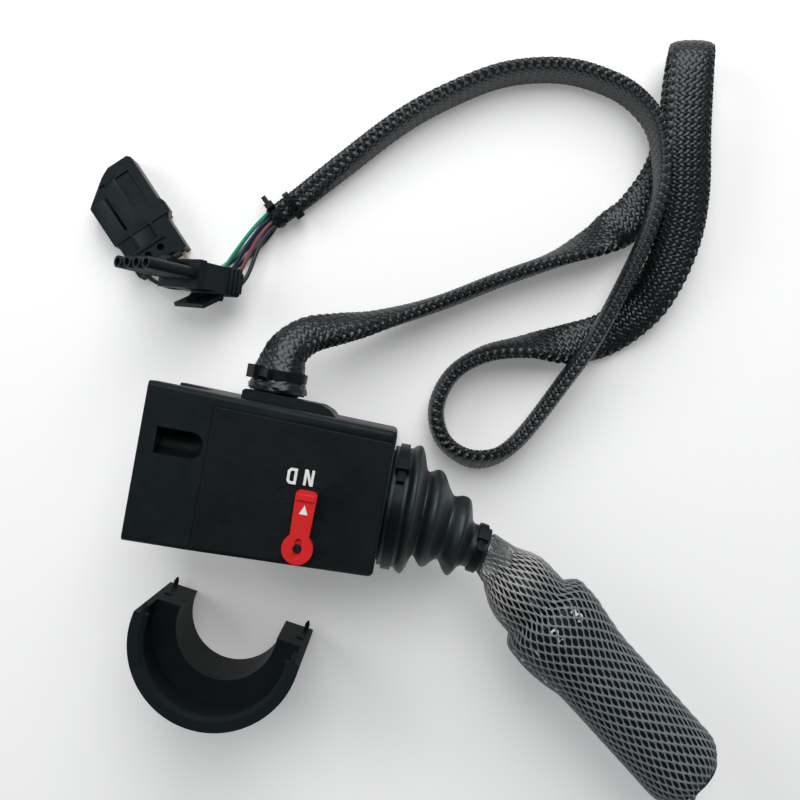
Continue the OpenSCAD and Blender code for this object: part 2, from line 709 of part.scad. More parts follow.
// Bellows: rings of [distance from the housing, radius, wall] about a line that leans over to the lever
bellows_l = 52;
neck_s = 44;
neck_r = 10.8;
neck_wall = neck_r - tube_d / 2 - move_c;
base_wall = fold1_d / 2 - 2.2 - spigot_d / 2 - move_c;
function fold(s, r, dip_s, dip_r) = [
  [s - 1.6, r - 0.7, rubber_t], [s, r, rubber_t], [s + 1.6, r - 0.9, rubber_t],
  [dip_s - 0.9, dip_r + 0.5, rubber_t], [dip_s, dip_r, rubber_t], [dip_s + 0.9, dip_r + 0.5, rubber_t]];
function bellows_rings() = concat(
  [[0.6, fold1_d / 2 - 2.2, base_wall], [spigot_l, fold1_d / 2 - 2.2, base_wall]],
  fold(12, fold1_d / 2, 18, fold2_d / 2 - 3),
  fold(22.8, fold2_d / 2, 31.2, fold3_d / 2 - 3.4),
  fold(37.2, fold3_d / 2, 42.4, neck_r + 0.4),
  [[neck_s, neck_r, neck_wall], [bellows_l, neck_r, neck_wall]]);
function rod_drop(s) = -(end_x - pivot_x + s) * tan(rod_tilt);
function lean(s) = s >= neck_s - 2 ? 1 : pow(max(0, s - spigot_l - 1) / (neck_s - spigot_l - 3), 1.25);
function bellows_ring(s, r, sides) = let(w = lean(s), t = rod_tilt * w)
  [for (k = [0 : sides - 1]) let(q = 360 * k / sides)
    [end_x + s, lever_y + rod_drop(s) * w, 0] + turn_z([0, r * cos(q), r * sin(q)], -t)];

module bellows() {
  rings = bellows_rings();
  sides = 32;
  n = len(rings);
  outer = [for (b = rings) bellows_ring(b[0], b[1], sides)];
  inner = [for (i = [n - 1 : -1 : 0]) bellows_ring(rings[i][0], rings[i][1] - rings[i][2], sides)];
  wrapped = concat(outer, inner);
  total = len(wrapped);
  color(rubber) polyhedron(points = [for (r = wrapped, p = r) p],
    faces = [for (i = [0 : total - 1], k = [0 : sides - 1], h = [0, 1])
      let(a = i * sides, b = ((i + 1) % total) * sides, k1 = (k + 1) % sides)
      h == 0 ? [a + k, b + k, a + k1] : [a + k1, b + k, b + k1]], convexity = 10);
}

module bellows_tie() {
  s = spigot_l / 2;
  color(nylon) translate([end_x + s + 0.4, lever_y + rod_drop(s) * lean(s), 0])
    rotate([0, 0, -rod_tilt * lean(s)])
    cable_tie(fold1_d / 2 - 2.2 + move_c, 4.6, 1.3, -42, 6);
}

module lock_seal() {
  r = lock_d / 2 + run_c;
  color(rubber) translate([lock_x, lock_y, front_z + cover_proud - 2.1])
    rotate_extrude() translate([r + 0.75, 0.75]) circle(r = 0.74);
}

module lever_yoke() {
  color(steel) difference() {
    union() {
      at_pivot() {
        along_y(-yoke_half, yoke_half, yoke_r);
        // Detent sector with three notches
        difference() {
          intersection() {
            along_y(-sector_t / 2, sector_t / 2, sector_r);
            translate([0, sector_t, 0]) rotate([90, 0, 0]) linear_extrude(2 * sector_t)
              polygon([[2, -8], [-sector_r * 1.2, -sector_r * 0.62],
                       [-sector_r * 1.2, sector_r * 0.62], [2, 8]]);
          }
          for (a = [-shift_deg, 0, shift_deg]) rotate([0, a, 0]) translate([-sector_r - 0.2, 0, 0])
            along_y(-sector_t, sector_t, notch_r);
        }
        // Fin that the neutral lock's pawl blocks
        difference() {
          translate([-10, -yoke_half, 0]) cube([12, 3, 18]);
          translate([lock_x - pivot_x - 2.5, -yoke_half - 1, pawl_z - 0.5]) cube([5, 5, 10]);
        }
        translate([post_x, 0, -post_l]) cylinder(r = magnet_d / 2 + 1.2, h = post_l);
      }
      along_rod() along_x(0, socket_l, socket_r);
    }
    at_pivot() along_y(-50, 50, bush_r);
    along_rod() along_x(tube_x, socket_l + 1, tube_d / 2 + 0.02);
    at_pivot() translate([post_x, 0, -post_l - 1]) cylinder(r = magnet_d / 2 + 0.02, h = magnet_t + 1);
  }
}

module pivot_bushes() {
  color(bronze) at_pivot() both_sides() difference() {
    union() {
      along_y(yoke_half - 9, yoke_half, bush_r - 0.02);
      along_y(yoke_half, yoke_half + flange_t, bush_r + 2.5);
    }
    along_y(-50, 50, pin_d / 2 + run_c);
  }
}

module shift_magnet() {
  color(steel) at_pivot() translate([post_x, 0, -post_l - 0.5]) cylinder(d = magnet_d, h = magnet_t + 0.5);
}

// Solid of one radius along the bent lever, from a place on the rod to a place on the grip axis
module bent_rod(r, from, to) {
  over = 1.5;
  along_rod() {
    along_x(from, rod_reach - bend_t, r);
    translate([rod_reach - bend_t, -bend_r, 0]) rotate([0, 0, 90 - bend - over])
      rotate_extrude(angle = bend + 2 * over) translate([bend_r, 0]) circle(r = r - 0.02);
  }
  along_grip() along_x(bend_t, to, r);
}

module lever_tube() {
  groove = tube_end - 3.4;
  color(steel) difference() {
    bent_rod(tube_d / 2, tube_x, tube_end);
    bent_rod(tube_bore / 2, tube_x - 1, tube_end + 1);
    along_grip() pipe_x(groove, groove + clip_t + 2 * seat_c, tube_d, tube_d / 2 - 0.8);
  }
}

module lever_cable() {
  color(dark) bent_rod(tube_bore / 2 - move_c, tube_x + 1, grip_x + 12);
}

module neck_tie() {
  s = neck_s + 4;
  color(nylon) translate([end_x + s, lever_y + rod_drop(s), 0]) rotate([0, 0, -rod_tilt])
    cable_tie(neck_r + move_c, 4, 1.2, -35, 5);
}

module grip_hub() {
  r = tube_d / 2 + seat_c / 2;
  color(dark) difference() {
    along_grip() revolve_x([[r, hub_x], [hub_d * 0.34, hub_x], [hub_d * 0.4, hub_x + 3],
      [hub_d / 2 - 0.8, hub_x + 9], [hub_d / 2, hub_x + 13], [hub_d / 2, grip_x - 3],
      [hub_d / 2 - 1, grip_x - 2],
      [hub_d / 2 - 1, grip_x - move_c], [r, grip_x - move_c]]);
    along_grip() translate([grip_x - 10, 0, 0]) cylinder(r = 2.5, h = 30);
  }
}

module hub_screw() {
  color(steel) along_grip() translate([grip_x - 10, 0, tube_d / 2 + seat_c]) difference() {
    cylinder(r = 2.5 - 0.02, h = 6);
    translate([0, 0, 4]) cylinder(r = 1.3, h = 4, $fn = 6);
  }
}

// Twist grip places along its axis
bush_l = 13;
bush_out = tube_d / 2 + 4;
bore_r = 15;
carrier_x = grip_x + 17;
carrier_l = 54;
board_at = carrier_x + 6;
ring_at = board_at + 6;
detent_at = carrier_x + 40;
detent_l = 8;
rear_x = grip_end - 32;
cap_x = grip_end - 9;
washer_x = tube_end - 4.6;

module grip_sleeve() {
  r = grip_d / 2;
  f = flare_d / 2;
  round_r = 12;
  color(dark) along_grip() revolve_x(concat(
    [[bush_out, grip_x], [f - 1.5, grip_x], [f, grip_x + 1.5], [f, grip_x + 13], [r + 0.8, grip_x + 28],
     [r, grip_x + 36]],
    [for (a = [0 : 10 : 50]) [r - round_r * (1 - cos(a)), grip_end - round_r - 1 + round_r * sin(a)]],
    [[bore_r, grip_end - 1.6], [bore_r, rear_x + bush_l + 1.4], [bush_out, rear_x + bush_l + 1.4],
     [bush_out, rear_x],
     [bore_r, rear_x - 3], [bore_r, grip_x + bush_l + 4], [bush_out, grip_x + bush_l + 1]]));
}

module grip_cap() {
  r = bore_r - seat_c;
  color(dark) along_grip() revolve_x([
    [0, cap_x + 4.5], [r - 2, cap_x + 4.5], [r - 2, cap_x + 1], [r, cap_x + 1],
    [r, grip_end - 1.6], [r * 0.75, grip_end - 0.6], [r * 0.4, grip_end - 0.1], [0, grip_end]]);
}

module grip_bushes() {
  r_in = tube_d / 2 + run_c;
  r_out = bush_out - 0.02;
  color(bronze) along_grip() {
    revolve_x([[r_in, grip_x + 0.2], [r_out, grip_x + 0.2], [r_out, grip_x + bush_l],
               [r_in, grip_x + bush_l]]);
    revolve_x([[r_in, rear_x + 0.2], [r_out, rear_x + 0.2], [r_out, rear_x + bush_l + 1.4 + seat_c],
      [r_out + 2, rear_x + bush_l + 1.4 + seat_c], [r_out + 2, rear_x + bush_l + 2.6],
      [r_in, rear_x + bush_l + 2.6]]);
  }
}

module grip_washer() {
  color(steel) along_grip() pipe_x(washer_x, washer_x + 1, tube_d / 2 + 4, tube_d / 2 + seat_c);
}

module grip_clip() {
  color(steel) along_grip() translate([tube_end - 3.4 + seat_c, 0, 0]) rotate([0, 90, 0])
    retaining_clip(tube_d / 2 - 0.8, tube_d / 2 + 2.5, clip_t);
}

module sensor_carrier() {
  color(nylon) along_grip() {
    pipe_x(carrier_x, carrier_x + carrier_l, tube_d / 2 + 2, tube_d / 2 + seat_c / 2);
    pipe_x(board_at - 2, board_at, bore_r - 2, tube_d / 2 + 1);
  }
}

module twist_board() {
  color(board_green) along_grip() {
    pipe_x(board_at + 0.05, board_at + 1.65, bore_r - 2, tube_d / 2 + 2 + seat_c);
    for (a = [0 : 20 : 60]) rotate([a - 120, 0, 0]) translate([board_at + 1.65, -1.5, tube_d / 2 + 2.4])
      cube([1.2, 3, 2.4]);
  }
}

module magnet_ring() {
  color(steel) along_grip() difference() {
    pipe_x(ring_at, ring_at + 4, bore_r - 0.02, bore_r - 3);
    rotate([60, 0, 0]) translate([ring_at - 1, -40, bore_r - 6]) cube([6, 80, 20]);
  }
}

// Ring with four gear notches for the twist spring
module detent_ring() {
  color(bronze) along_grip() difference() {
    pipe_x(detent_at, detent_at + detent_l, bore_r - 0.02, bore_r - 2.5);
    for (a = [0 : 20 : 60]) rotate([-a, 0, 0]) translate([0, 0, bore_r - 2.5])
      along_x(detent_at - 1, detent_at + detent_l + 1, 1.2);
  }
}

module twist_spring() {
  seat = tube_d / 2 + 2;
  top = bore_r - 1.8;
  color(steel) along_grip() translate([detent_at + 1.5, 0, 0]) rotate([90, 0, 90])
  linear_extrude(detent_l - 3) {
    polygon([[-5, seat + 0.05], [-2, seat + 0.05], [0.9, top - 1.2], [0.9, top - 0.5], [-0.9, top - 0.5],
             [-2.5, seat + 0.75], [-5, seat + 0.75]]);
    translate([0, top - 0.9]) circle(r = 0.9);
  }
}

// Protective net, as a thin sleeve over the hub and the grip
module grip_net() {
  g = move_c;
  t = net_t;
  n = hub_d * 0.4 + g;
  h = hub_d / 2 + g;
  f = flare_d / 2 + g;
  r = grip_d / 2 + g;
  color([0.75, 0.77, 0.78]) along_grip() revolve_x([
    [n, hub_x + 2], [h, hub_x + 9], [h, grip_x - 4], [f, grip_x - 1],
    [f, grip_x + 13], [r + 0.8, grip_x + 28], [r, grip_x + 36], [r, grip_end - 13], [r - 0.7, grip_end - 8.8],
    [r - 2.7, grip_end - 5.2], [r - 4.1, grip_end - 3.6], [r - 5.4, grip_end - 1], [r - 7, grip_end - 0.1],
    [r - 6.8, grip_end + 0.7], [r - 4.9, grip_end - 0.3], [r - 3.4, grip_end - 3.1],
    [r - 1.9, grip_end - 4.9], [r + 0.1, grip_end - 8.6], [r + t, grip_end - 13],
    [r + t, grip_x + 36], [r + 0.8 + t, grip_x + 28], [f + t, grip_x + 13], [f + t, grip_x - 1.6],
    [h + t, grip_x - 4.6], [h + t, hub_x + 9 - t / 2], [n + t, hub_x + 2]]);
}

module lock_lever() {
  boss = 7;
  tip_r = 2.2;
  color(red) translate([lock_x, lock_y, lock_z]) difference() {
    union() {
      linear_extrude(lock_t) {
        circle(r = boss);
        polygon([[-lock_w / 2 + 0.6, 0], [lock_w / 2 - 0.6, 0], [lock_w / 2, lock_l - tip_r],
                 [-lock_w / 2, lock_l - tip_r]]);
        translate([-lock_w / 2 + tip_r, lock_l - 2 * tip_r]) square([lock_w - 2 * tip_r, 2 * tip_r]);
        for (s = [-1, 1]) translate([s * (lock_w / 2 - tip_r), lock_l - tip_r]) circle(r = tip_r);
      }
      // Finger ridge across the tip
      translate([-lock_w / 2 + 1, lock_l - 4.4, 0]) cube([lock_w - 2, 2.6, lock_t + 1]);
    }
    // Slot that takes the shaft's key
    translate([-1.6, -3, lock_t - 1.4]) cube([3.2, 6, 5]);
    for (y = [-3, 3]) translate([0, y, lock_t - 1.4]) cylinder(r = 1.6, h = 5);
    translate([0, 0, -1]) cylinder(r = lock_d / 2 - 1 + 0.02, h = 10);
  }
}

module lock_shaft() {
  color(steel) translate([lock_x, lock_y, 0]) {
    difference() {
      translate([0, 0, pawl_z - 4]) cylinder(r = lock_d / 2, h = lock_z - seat_c - pawl_z + 4);
      translate([0, 0, pawl_z - 1 - clip_t - 0.2]) difference() {
        cylinder(r = lock_d, h = clip_t + 0.2);
        translate([0, 0, -1]) cylinder(r = lock_d / 2 - 0.8, h = clip_t + 3);
      }
    }
    translate([0, 0, lock_z - 2]) cylinder(r = lock_d / 2 - 1, h = lock_t + 1);
  }
}

module lock_pawl() {
  finger = lever_y - yoke_half - 2 * move_c - lock_y;
  color(steel) translate([lock_x, lock_y, pawl_z - 0.9]) difference() {
    union() {
      cylinder(r = lock_d / 2 + 2, h = pawl_t + 1.9);
      translate([-2, 0, 0.9]) cube([4, finger, pawl_t]);
    }
    translate([0, 0, -1]) cylinder(r = lock_d / 2 + 0.02, h = 20);
  }
}

module lock_clip() {
  color(steel) translate([lock_x, lock_y, pawl_z - 1 - clip_t - seat_c])
    retaining_clip(lock_d / 2 - 0.8, lock_d / 2 + 2, clip_t);
}

// Flat sleeve of the lead, from the boot to the loose wires
function sleeve_points() = [for (i = [0 : len(SLEEVE) - 1]) let(s = SLEEVE[i])
  i == 0 ? [boot_x, boot_end(), s[2]] : [s[0], s[1], s[2]]];

module loom_sleeve() {
  path = sleeve_points();
  last = len(path) - 1;
  color(dark) loft([for (i = [0 : last]) let(s = SLEEVE[i])
    ring(path[i], i == 0 ? [0, 1, 0] : step_dir(path, i), compass(s[3], s[4]), s[5], s[6], SLEEVE_SIDES)]);
}

module loom_ties() {
  path = sleeve_points();
  last = len(path) - 1;
  end = path[last];
  dir = step_dir(path, last);
  heading = atan2(dir.y, dir.x);
  color(nylon) for (back = [3, 13]) translate(end - dir * back + [0, 0, 0.2])
    rotate([0, 0, heading]) cable_tie(back < 8 ? 5.6 : 6.4, 3.2, 1, back < 8 ? 40 : -50, 8);
}

function tower_point(p) = tower_pos + turn(p, tower_turn);
function shroud_point(p) = shroud_pos + turn_z(p, shroud_turn);
function way_y(i) = (i - (way_count - 1) / 2) * way_pitch;
// Wires start side by side at the sleeve's end, the tower's in a row above the shroud's
function wire_start(i, row) = let(p = sleeve_points(), n = len(p) - 1, d = step_dir(p, n))
  p[n] + d * 0.1 + cross([0, 0, 1], d) * (2.4 * i - 3.6) + [0, 0, row * 1.3];
function tower_wire(i) = let(s = wire_start(i, 1), e = tower_point([-seal_out - 0.1, way_y(i), tower_h / 2]))
  [s, s + [-10, -13, 1 + i], [e.x + 9, e.y + 8, max(e.z - 3, floor_z + wire_d)], e];
function shroud_wire(i) = let(s = wire_start(i, -1), e = shroud_point([-0.1, way_y(i), shroud_h / 2]))
  [s, s + [-20, -20, -4.8], e + turn_z([-10, 0, -6], shroud_turn), e];

// One wire, square to the sleeve's end and to the face it enters
module wire(control, entry) {
  last = WIRE_RINGS - 1;
  path = sleeve_points();
  exit = step_dir(path, len(path) - 1);
  points = [for (k = [0 : last]) bezier(control, k / last)];
  loft([for (k = [0 : last])
    let(d = k == 0 ? exit : k == last ? entry : step_dir(points, k))
    ring(points[k], d, [0.1, 0.2, 1], wire_d / 2, wire_d / 2, WIRE_SIDES)]);
}

module tower_wires() {
  color([0.2, 0.6, 0.3]) for (i = [0 : way_count - 1]) wire(tower_wire(i), turn([1, 0, 0], tower_turn));
}

module shroud_wires() {
  color([0.5, 0.5, 0.52]) for (i = [0 : way_count - 1]) wire(shroud_wire(i), turn_z([1, 0, 0], shroud_turn));
}

module at_tower() { translate(tower_pos) rotate(tower_turn) children(); }
module at_shroud() { translate(shroud_pos) rotate([0, 0, shroud_turn]) children(); }
module each_way(z) { for (i = [0 : way_count - 1]) translate([0, way_y(i), z]) children(); }

module tower_body() {
  mid = tower_h / 2;
  color(black) at_tower() difference() {
    union() {
      translate([0, -con_half, 0]) cube([tower_block, 2 * con_half, tower_h]);
      // Collar that the mating shroud stops against
      translate([tower_block - 4, -con_half - 1.2, -0.6]) cube([4, 2 * con_half + 2.4, tower_h + 1.2]);
      each_way(mid) along_x(tower_block - 1, tower_l, tube_r);
      translate([tower_block - 1, -way_pitch * 1.5, mid - 1])
        cube([tower_l - tower_block - 3, way_pitch * 3, 2]);
      // Latch ramp
      translate([tower_block - 1, -4, tower_h - 2.5]) rotate([90, 0, 90]) linear_extrude(12)
        polygon([[0, 0], [8, 0], [8, 1.6], [0, 1.6]]);
      translate([tower_block + 6, -4, tower_h - 2.5]) cube([3, 8, 3]);
    }
    each_way(mid) along_x(-1, tower_l + 1, 1.9);
    translate([-1, -con_half + 1.2, 1.2]) cube([seal_l + 1, 2 * con_half - 2.4, tower_h - 2.4]);
  }
}

module tower_seal() {
  mid = tower_h / 2;
  w = con_half - 1.2 - seat_c;
  color([0.16, 0.16, 0.17]) at_tower() difference() {
    union() {
      translate([-seal_out, -w + 0.6, 1.9]) cube([seal_l + seal_out - seat_c, 2 * w - 1.2, tower_h - 3.8]);
      for (x = [-seal_out + 0.3, 0.2, seal_l - 1.6]) translate([x, -w, 1.2 + seat_c])
        cube([1.1, 2 * w, tower_h - 2.4 - 2 * seat_c]);
    }
    each_way(mid) along_x(1, seal_l + 1, wire_d / 2 + 0.02);
  }
}

module tower_sockets() {
  color(bronze) at_tower() each_way(tower_h / 2) difference() {
    along_x(seal_l + 1, tower_l - 6, 1.85);
    along_x(tower_block, tower_l, 1.1);
  }
}

// Hinged lock flap of the tower, hanging open
flap_l = 12;
flap_x = 9;
module flap(l, w, t) {
  difference() {
    union() {
      translate([0, -w, -t / 2]) cube([l, 2 * w, t]);
      rotate([90, 0, 0]) cylinder(r = t * 0.8, h = 2 * w, center = true);
    }
    for (y = [-way_pitch / 2, way_pitch / 2]) translate([l - 5, y, -5]) cylinder(r = 1.8, h = 10);
  }
}

module tower_lock() {
  color(black) at_tower() translate([flap_x, 0, -2.4]) rotate([0, 30, 0]) flap(flap_l, con_half - 3, 2.2);
}

// Outline of the shroud from above, with the slanted corner of its mouth
module shroud_plan(w) {
  corner = 1.6;
  polygon([[20, -w], [shroud_l - corner, -w], [shroud_l, corner - w], [shroud_l, 13.3 - w],
           [shroud_l - 2.6, 18.6 - w], [shroud_l - 11.6, w - corner], [shroud_l - 13, w], [20, w]]);
}

module shroud_body() {
  mid = shroud_h / 2;
  w = con_half + 1.4;
  color(black) at_shroud() difference() {
    union() {
      translate([0, -con_half, 0.8]) cube([24, 2 * con_half, shroud_h - 1.6]);
      linear_extrude(shroud_h) shroud_plan(w);
      // Rails and latch bridge on the top
      for (y = [-6.5, 5.3]) translate([2, y, shroud_h - 1.2]) cube([20, 1.2, 1.6]);
      // Latch on the side
      translate([0, 1 - w, shroud_h * 0.4]) linear_extrude(shroud_h * 0.5)
        polygon([[18, 0], [21, -2.6], [27, -2.6], [31, 0]]);
    }
    translate([24, -w + 1.6, 1.6]) cube([shroud_l, 2 * w - 3.2, shroud_h - 3.2]);
    each_way(mid) along_x(-1, 26, 1.9);
    translate([-1, -con_half + 1.2, 2]) cube([seal_l + 1, 2 * con_half - 2.4, shroud_h - 4]);
    // Latch recess, relief slot and rim notch in the top wall
    translate([shroud_l - 24.4, 5.2 - w, shroud_h - 1.1]) cube([17.8, 8, 6]);
    translate([shroud_l - 32, w - 10.4, shroud_h - 3]) cube([19, 1.5, 6]);
    translate([shroud_l - 8.6, 19.4 - w, shroud_h - 1.1]) cube([2.6, 3, 6]);
  }
}

module shroud_seal() {
  w = con_half - 1.2 - seat_c;
  color([0.16, 0.16, 0.17]) at_shroud() difference() {
    translate([0.4, -w, 2 + seat_c]) cube([seal_l - 0.4 - seat_c, 2 * w, shroud_h - 4 - 2 * seat_c]);
    each_way(shroud_h / 2) along_x(-1, seal_l + 1, wire_d / 2 + 0.02);
  }
}

module shroud_pins() {
  color(bronze) at_shroud() each_way(shroud_h / 2) {
    along_x(seal_l + 1, 23, 1.85);
    along_x(22, 44, 1);
  }
}

module shroud_lock() {
  color(black) at_shroud() translate([10, 0, shroud_h + 2.3]) rotate([0, 180, 0]) flap(9, con_half - 6, 2);
}

housing();
front_cover();
back_cover();
back_screws();
column_cover();
pivot_bracket();
bracket_screws();
pivot_pin();
pin_clips();
detent_spring();
circuit_board();
board_parts();
board_screws();
inner_loom();
cable_plate();
plate_screws();
cable_boot();
boot_tie();
bellows();
bellows_tie();
lock_seal();
lever_yoke();
pivot_bushes();
shift_magnet();
lever_tube();
lever_cable();
neck_tie();
grip_hub();
hub_screw();
sensor_carrier();
twist_board();
twist_spring();
grip_washer();
grip_clip();
grip_sleeve();
grip_cap();
grip_bushes();
detent_ring();
magnet_ring();
grip_net();
lock_lever();
lock_shaft();
lock_pawl();
lock_clip();
loom_sleeve();
loom_ties();
tower_wires();
shroud_wires();
tower_body();
tower_seal();
tower_sockets();
tower_lock();
shroud_body();
shroud_seal();
shroud_pins();
shroud_lock();
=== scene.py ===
"""Dresses the column gear selector: moulded housing, rubber bellows, netted twist grip and braided lead.

Sizes are in millimetres in the part's own frame and become metres when a piece leaves the bench.
"""

from __future__ import annotations

import json
import logging
import math
from dataclasses import dataclass, field
from enum import Enum
from typing import Any, Callable, Sequence

import bmesh
import bpy
from mathutils import Matrix, Vector

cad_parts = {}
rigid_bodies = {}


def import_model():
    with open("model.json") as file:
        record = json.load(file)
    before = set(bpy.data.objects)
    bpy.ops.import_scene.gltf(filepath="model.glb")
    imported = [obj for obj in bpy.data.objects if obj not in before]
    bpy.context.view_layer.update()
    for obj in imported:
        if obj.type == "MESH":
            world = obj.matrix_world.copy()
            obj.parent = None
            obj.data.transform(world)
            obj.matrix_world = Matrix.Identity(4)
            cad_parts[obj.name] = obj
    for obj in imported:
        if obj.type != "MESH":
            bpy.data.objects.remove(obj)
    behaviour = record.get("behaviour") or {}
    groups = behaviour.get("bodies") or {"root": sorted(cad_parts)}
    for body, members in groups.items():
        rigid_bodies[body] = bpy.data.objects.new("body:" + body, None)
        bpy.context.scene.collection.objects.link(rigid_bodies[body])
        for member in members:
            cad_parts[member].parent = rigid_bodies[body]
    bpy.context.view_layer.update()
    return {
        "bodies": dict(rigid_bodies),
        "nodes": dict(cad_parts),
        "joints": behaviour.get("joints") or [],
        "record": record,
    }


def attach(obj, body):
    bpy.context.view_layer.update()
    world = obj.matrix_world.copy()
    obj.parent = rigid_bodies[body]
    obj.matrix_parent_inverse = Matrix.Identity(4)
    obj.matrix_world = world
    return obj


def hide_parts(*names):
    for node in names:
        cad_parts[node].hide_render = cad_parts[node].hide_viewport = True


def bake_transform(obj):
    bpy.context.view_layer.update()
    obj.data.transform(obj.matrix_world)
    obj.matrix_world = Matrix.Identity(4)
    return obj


LOG = logging.getLogger("gear_selector")
MM = 0.001
MERGE = 1e-4  # Distance below which two points of a form are one, in millimetres
NOISE_SPAN = (0.3, 0.7)  # Where most values of fractal noise lie
SPECK_SPAN = (0.5, 0.8)  # Where the peaks of fractal noise lie
BRUSHING = (0.06, 1.0, 1.0)  # Stretch that turns noise into brushed lines
Colour = tuple[float, float, float]
Place = tuple[float, float, float]
Pairs = tuple[tuple[float, float], ...]
Nodes = dict[str, bpy.types.Object]
Inputs = dict[Any, Any]
Socket = bpy.types.NodeSocket
Loop = tuple[list[bmesh.types.BMVert], list[bmesh.types.BMEdge]]


class Body(Enum):
    """Rigid groups of the selector that a piece can ride on."""

    HOUSING = "housing"
    LEVER = "lever"
    GRIP = "grip"
    LOCK = "neutral_lock"
    TOWER_FLAP = "tower_flap"
    SHROUD_FLAP = "shroud_flap"


class Texture(Enum):
    """Kinds of fine relief that a finish can have."""

    SPARK = "spark-eroded mould texture"
    SKIN = "soft rubber skin"
    BRUSHED = "brushed lines"
    SMOOTH = "polished"


class Graph:
    """Small vocabulary of shader nodes for one node tree."""

    def __init__(self, tree: bpy.types.NodeTree, shader: str) -> None:
        """Starts from a node tree and the name of the shader in it."""
        self.tree = tree
        self.shader = tree.nodes[shader]

    def fill(self, node: bpy.types.Node, inputs: Inputs) -> None:
        """Sets or links a node's inputs.

        Args:
            node: Node to fill.
            inputs: Number, colour or socket for each input's name or index.
        """
        for name, value in inputs.items():
            if isinstance(value, bpy.types.NodeSocket):
                self.tree.links.new(value, node.inputs[name])
            else:
                node.inputs[name].default_value = value

    def shade(self, inputs: Inputs) -> None:
        """Sets or links inputs of the shader."""
        self.fill(self.shader, inputs)

    def node(self, kind: str, inputs: Inputs, **settings: Any) -> bpy.types.Node:
        """Adds a node.

        Args:
            kind: Blender's name of the node class, without its prefix.
            inputs: What its inputs get.
            settings: Properties of the node.

        Returns:
            The new node.
        """
        node = self.tree.nodes.new(f"ShaderNode{kind}")
        for name, value in settings.items():
            setattr(node, name, value)
        self.fill(node, inputs)
        return node

    def object_place(self) -> Socket:
        """Returns the object coordinates, in metres."""
        return self.node("TexCoord", {}).outputs["Object"]

    def attribute(self, name: str) -> Socket:
        """Returns a number stored on the mesh."""
        return self.node("Attribute", {}, attribute_name=name).outputs["Fac"]

    def noise(self, place: Socket, size: float, detail: float) -> Socket:
        """Returns fractal noise with patches of a size in millimetres and octaves of detail."""
        patches = self.node("TexNoise", {"Vector": place, "Scale": 1.0 / (size * MM), "Detail": detail})
        return patches.outputs["Fac"]

    def cells(self, place: Socket, size: float) -> Socket:
        """Returns the rounded pits of a spark-eroded mould, of a size in millimetres."""
        pits = self.node("TexVoronoi", {"Vector": place, "Scale": 1.0 / (size * MM)}, feature="SMOOTH_F1")
        return pits.outputs["Distance"]

    def level(self, value: Socket, low: float, high: float, to_low: float, to_high: float) -> Socket:
        """Maps a value from the span between low and high to another span."""
        span = {"From Min": low, "From Max": high, "To Min": to_low, "To Max": to_high}
        return self.node("MapRange", {"Value": value, **span}).outputs["Result"]

    def ramp(self, value: Socket, first: Colour, second: Colour, start: float, end: float) -> Socket:
        """Blends two colours by a value.

        Args:
            value: Socket with the value.
            first: Colour at the start.
            second: Colour at the end.
            start: Value at which the blend starts.
            end: Value at which the blend ends.

        Returns:
            Socket with the colour.
        """
        node = self.node("ValToRGB", {"Fac": value})
        stops = node.color_ramp.elements
        stops[0].position, stops[1].position = start, end
        stops[0].color, stops[1].color = (*first, 1.0), (*second, 1.0)
        return node.outputs["Color"]

    def mix_colour(self, share: Socket, colour: Socket, other: Colour) -> Socket:
        """Lays a share of a second colour over a first one."""
        node = self.node("Mix", {"Factor": share, 6: colour, 7: (*other, 1.0)}, data_type="RGBA")
        return node.outputs[2]

    def wave(self, value: Socket, turns: float) -> Socket:
        """Turns a value into ridges between -1 and 1, with an angle in radians per unit."""
        scaled = self.node("Math", {0: value, 1: turns}, operation="MULTIPLY").outputs[0]
        return self.node("Math", {0: scaled}, operation="SINE").outputs[0]

    def bump(self, height: Socket, depth: float) -> Socket:
        """Returns the normal bent by a height, whose unit has a depth in millimetres."""
        return self.node("Bump", {"Strength": 1.0, "Distance": depth * MM, "Height": height}).outputs["Normal"]


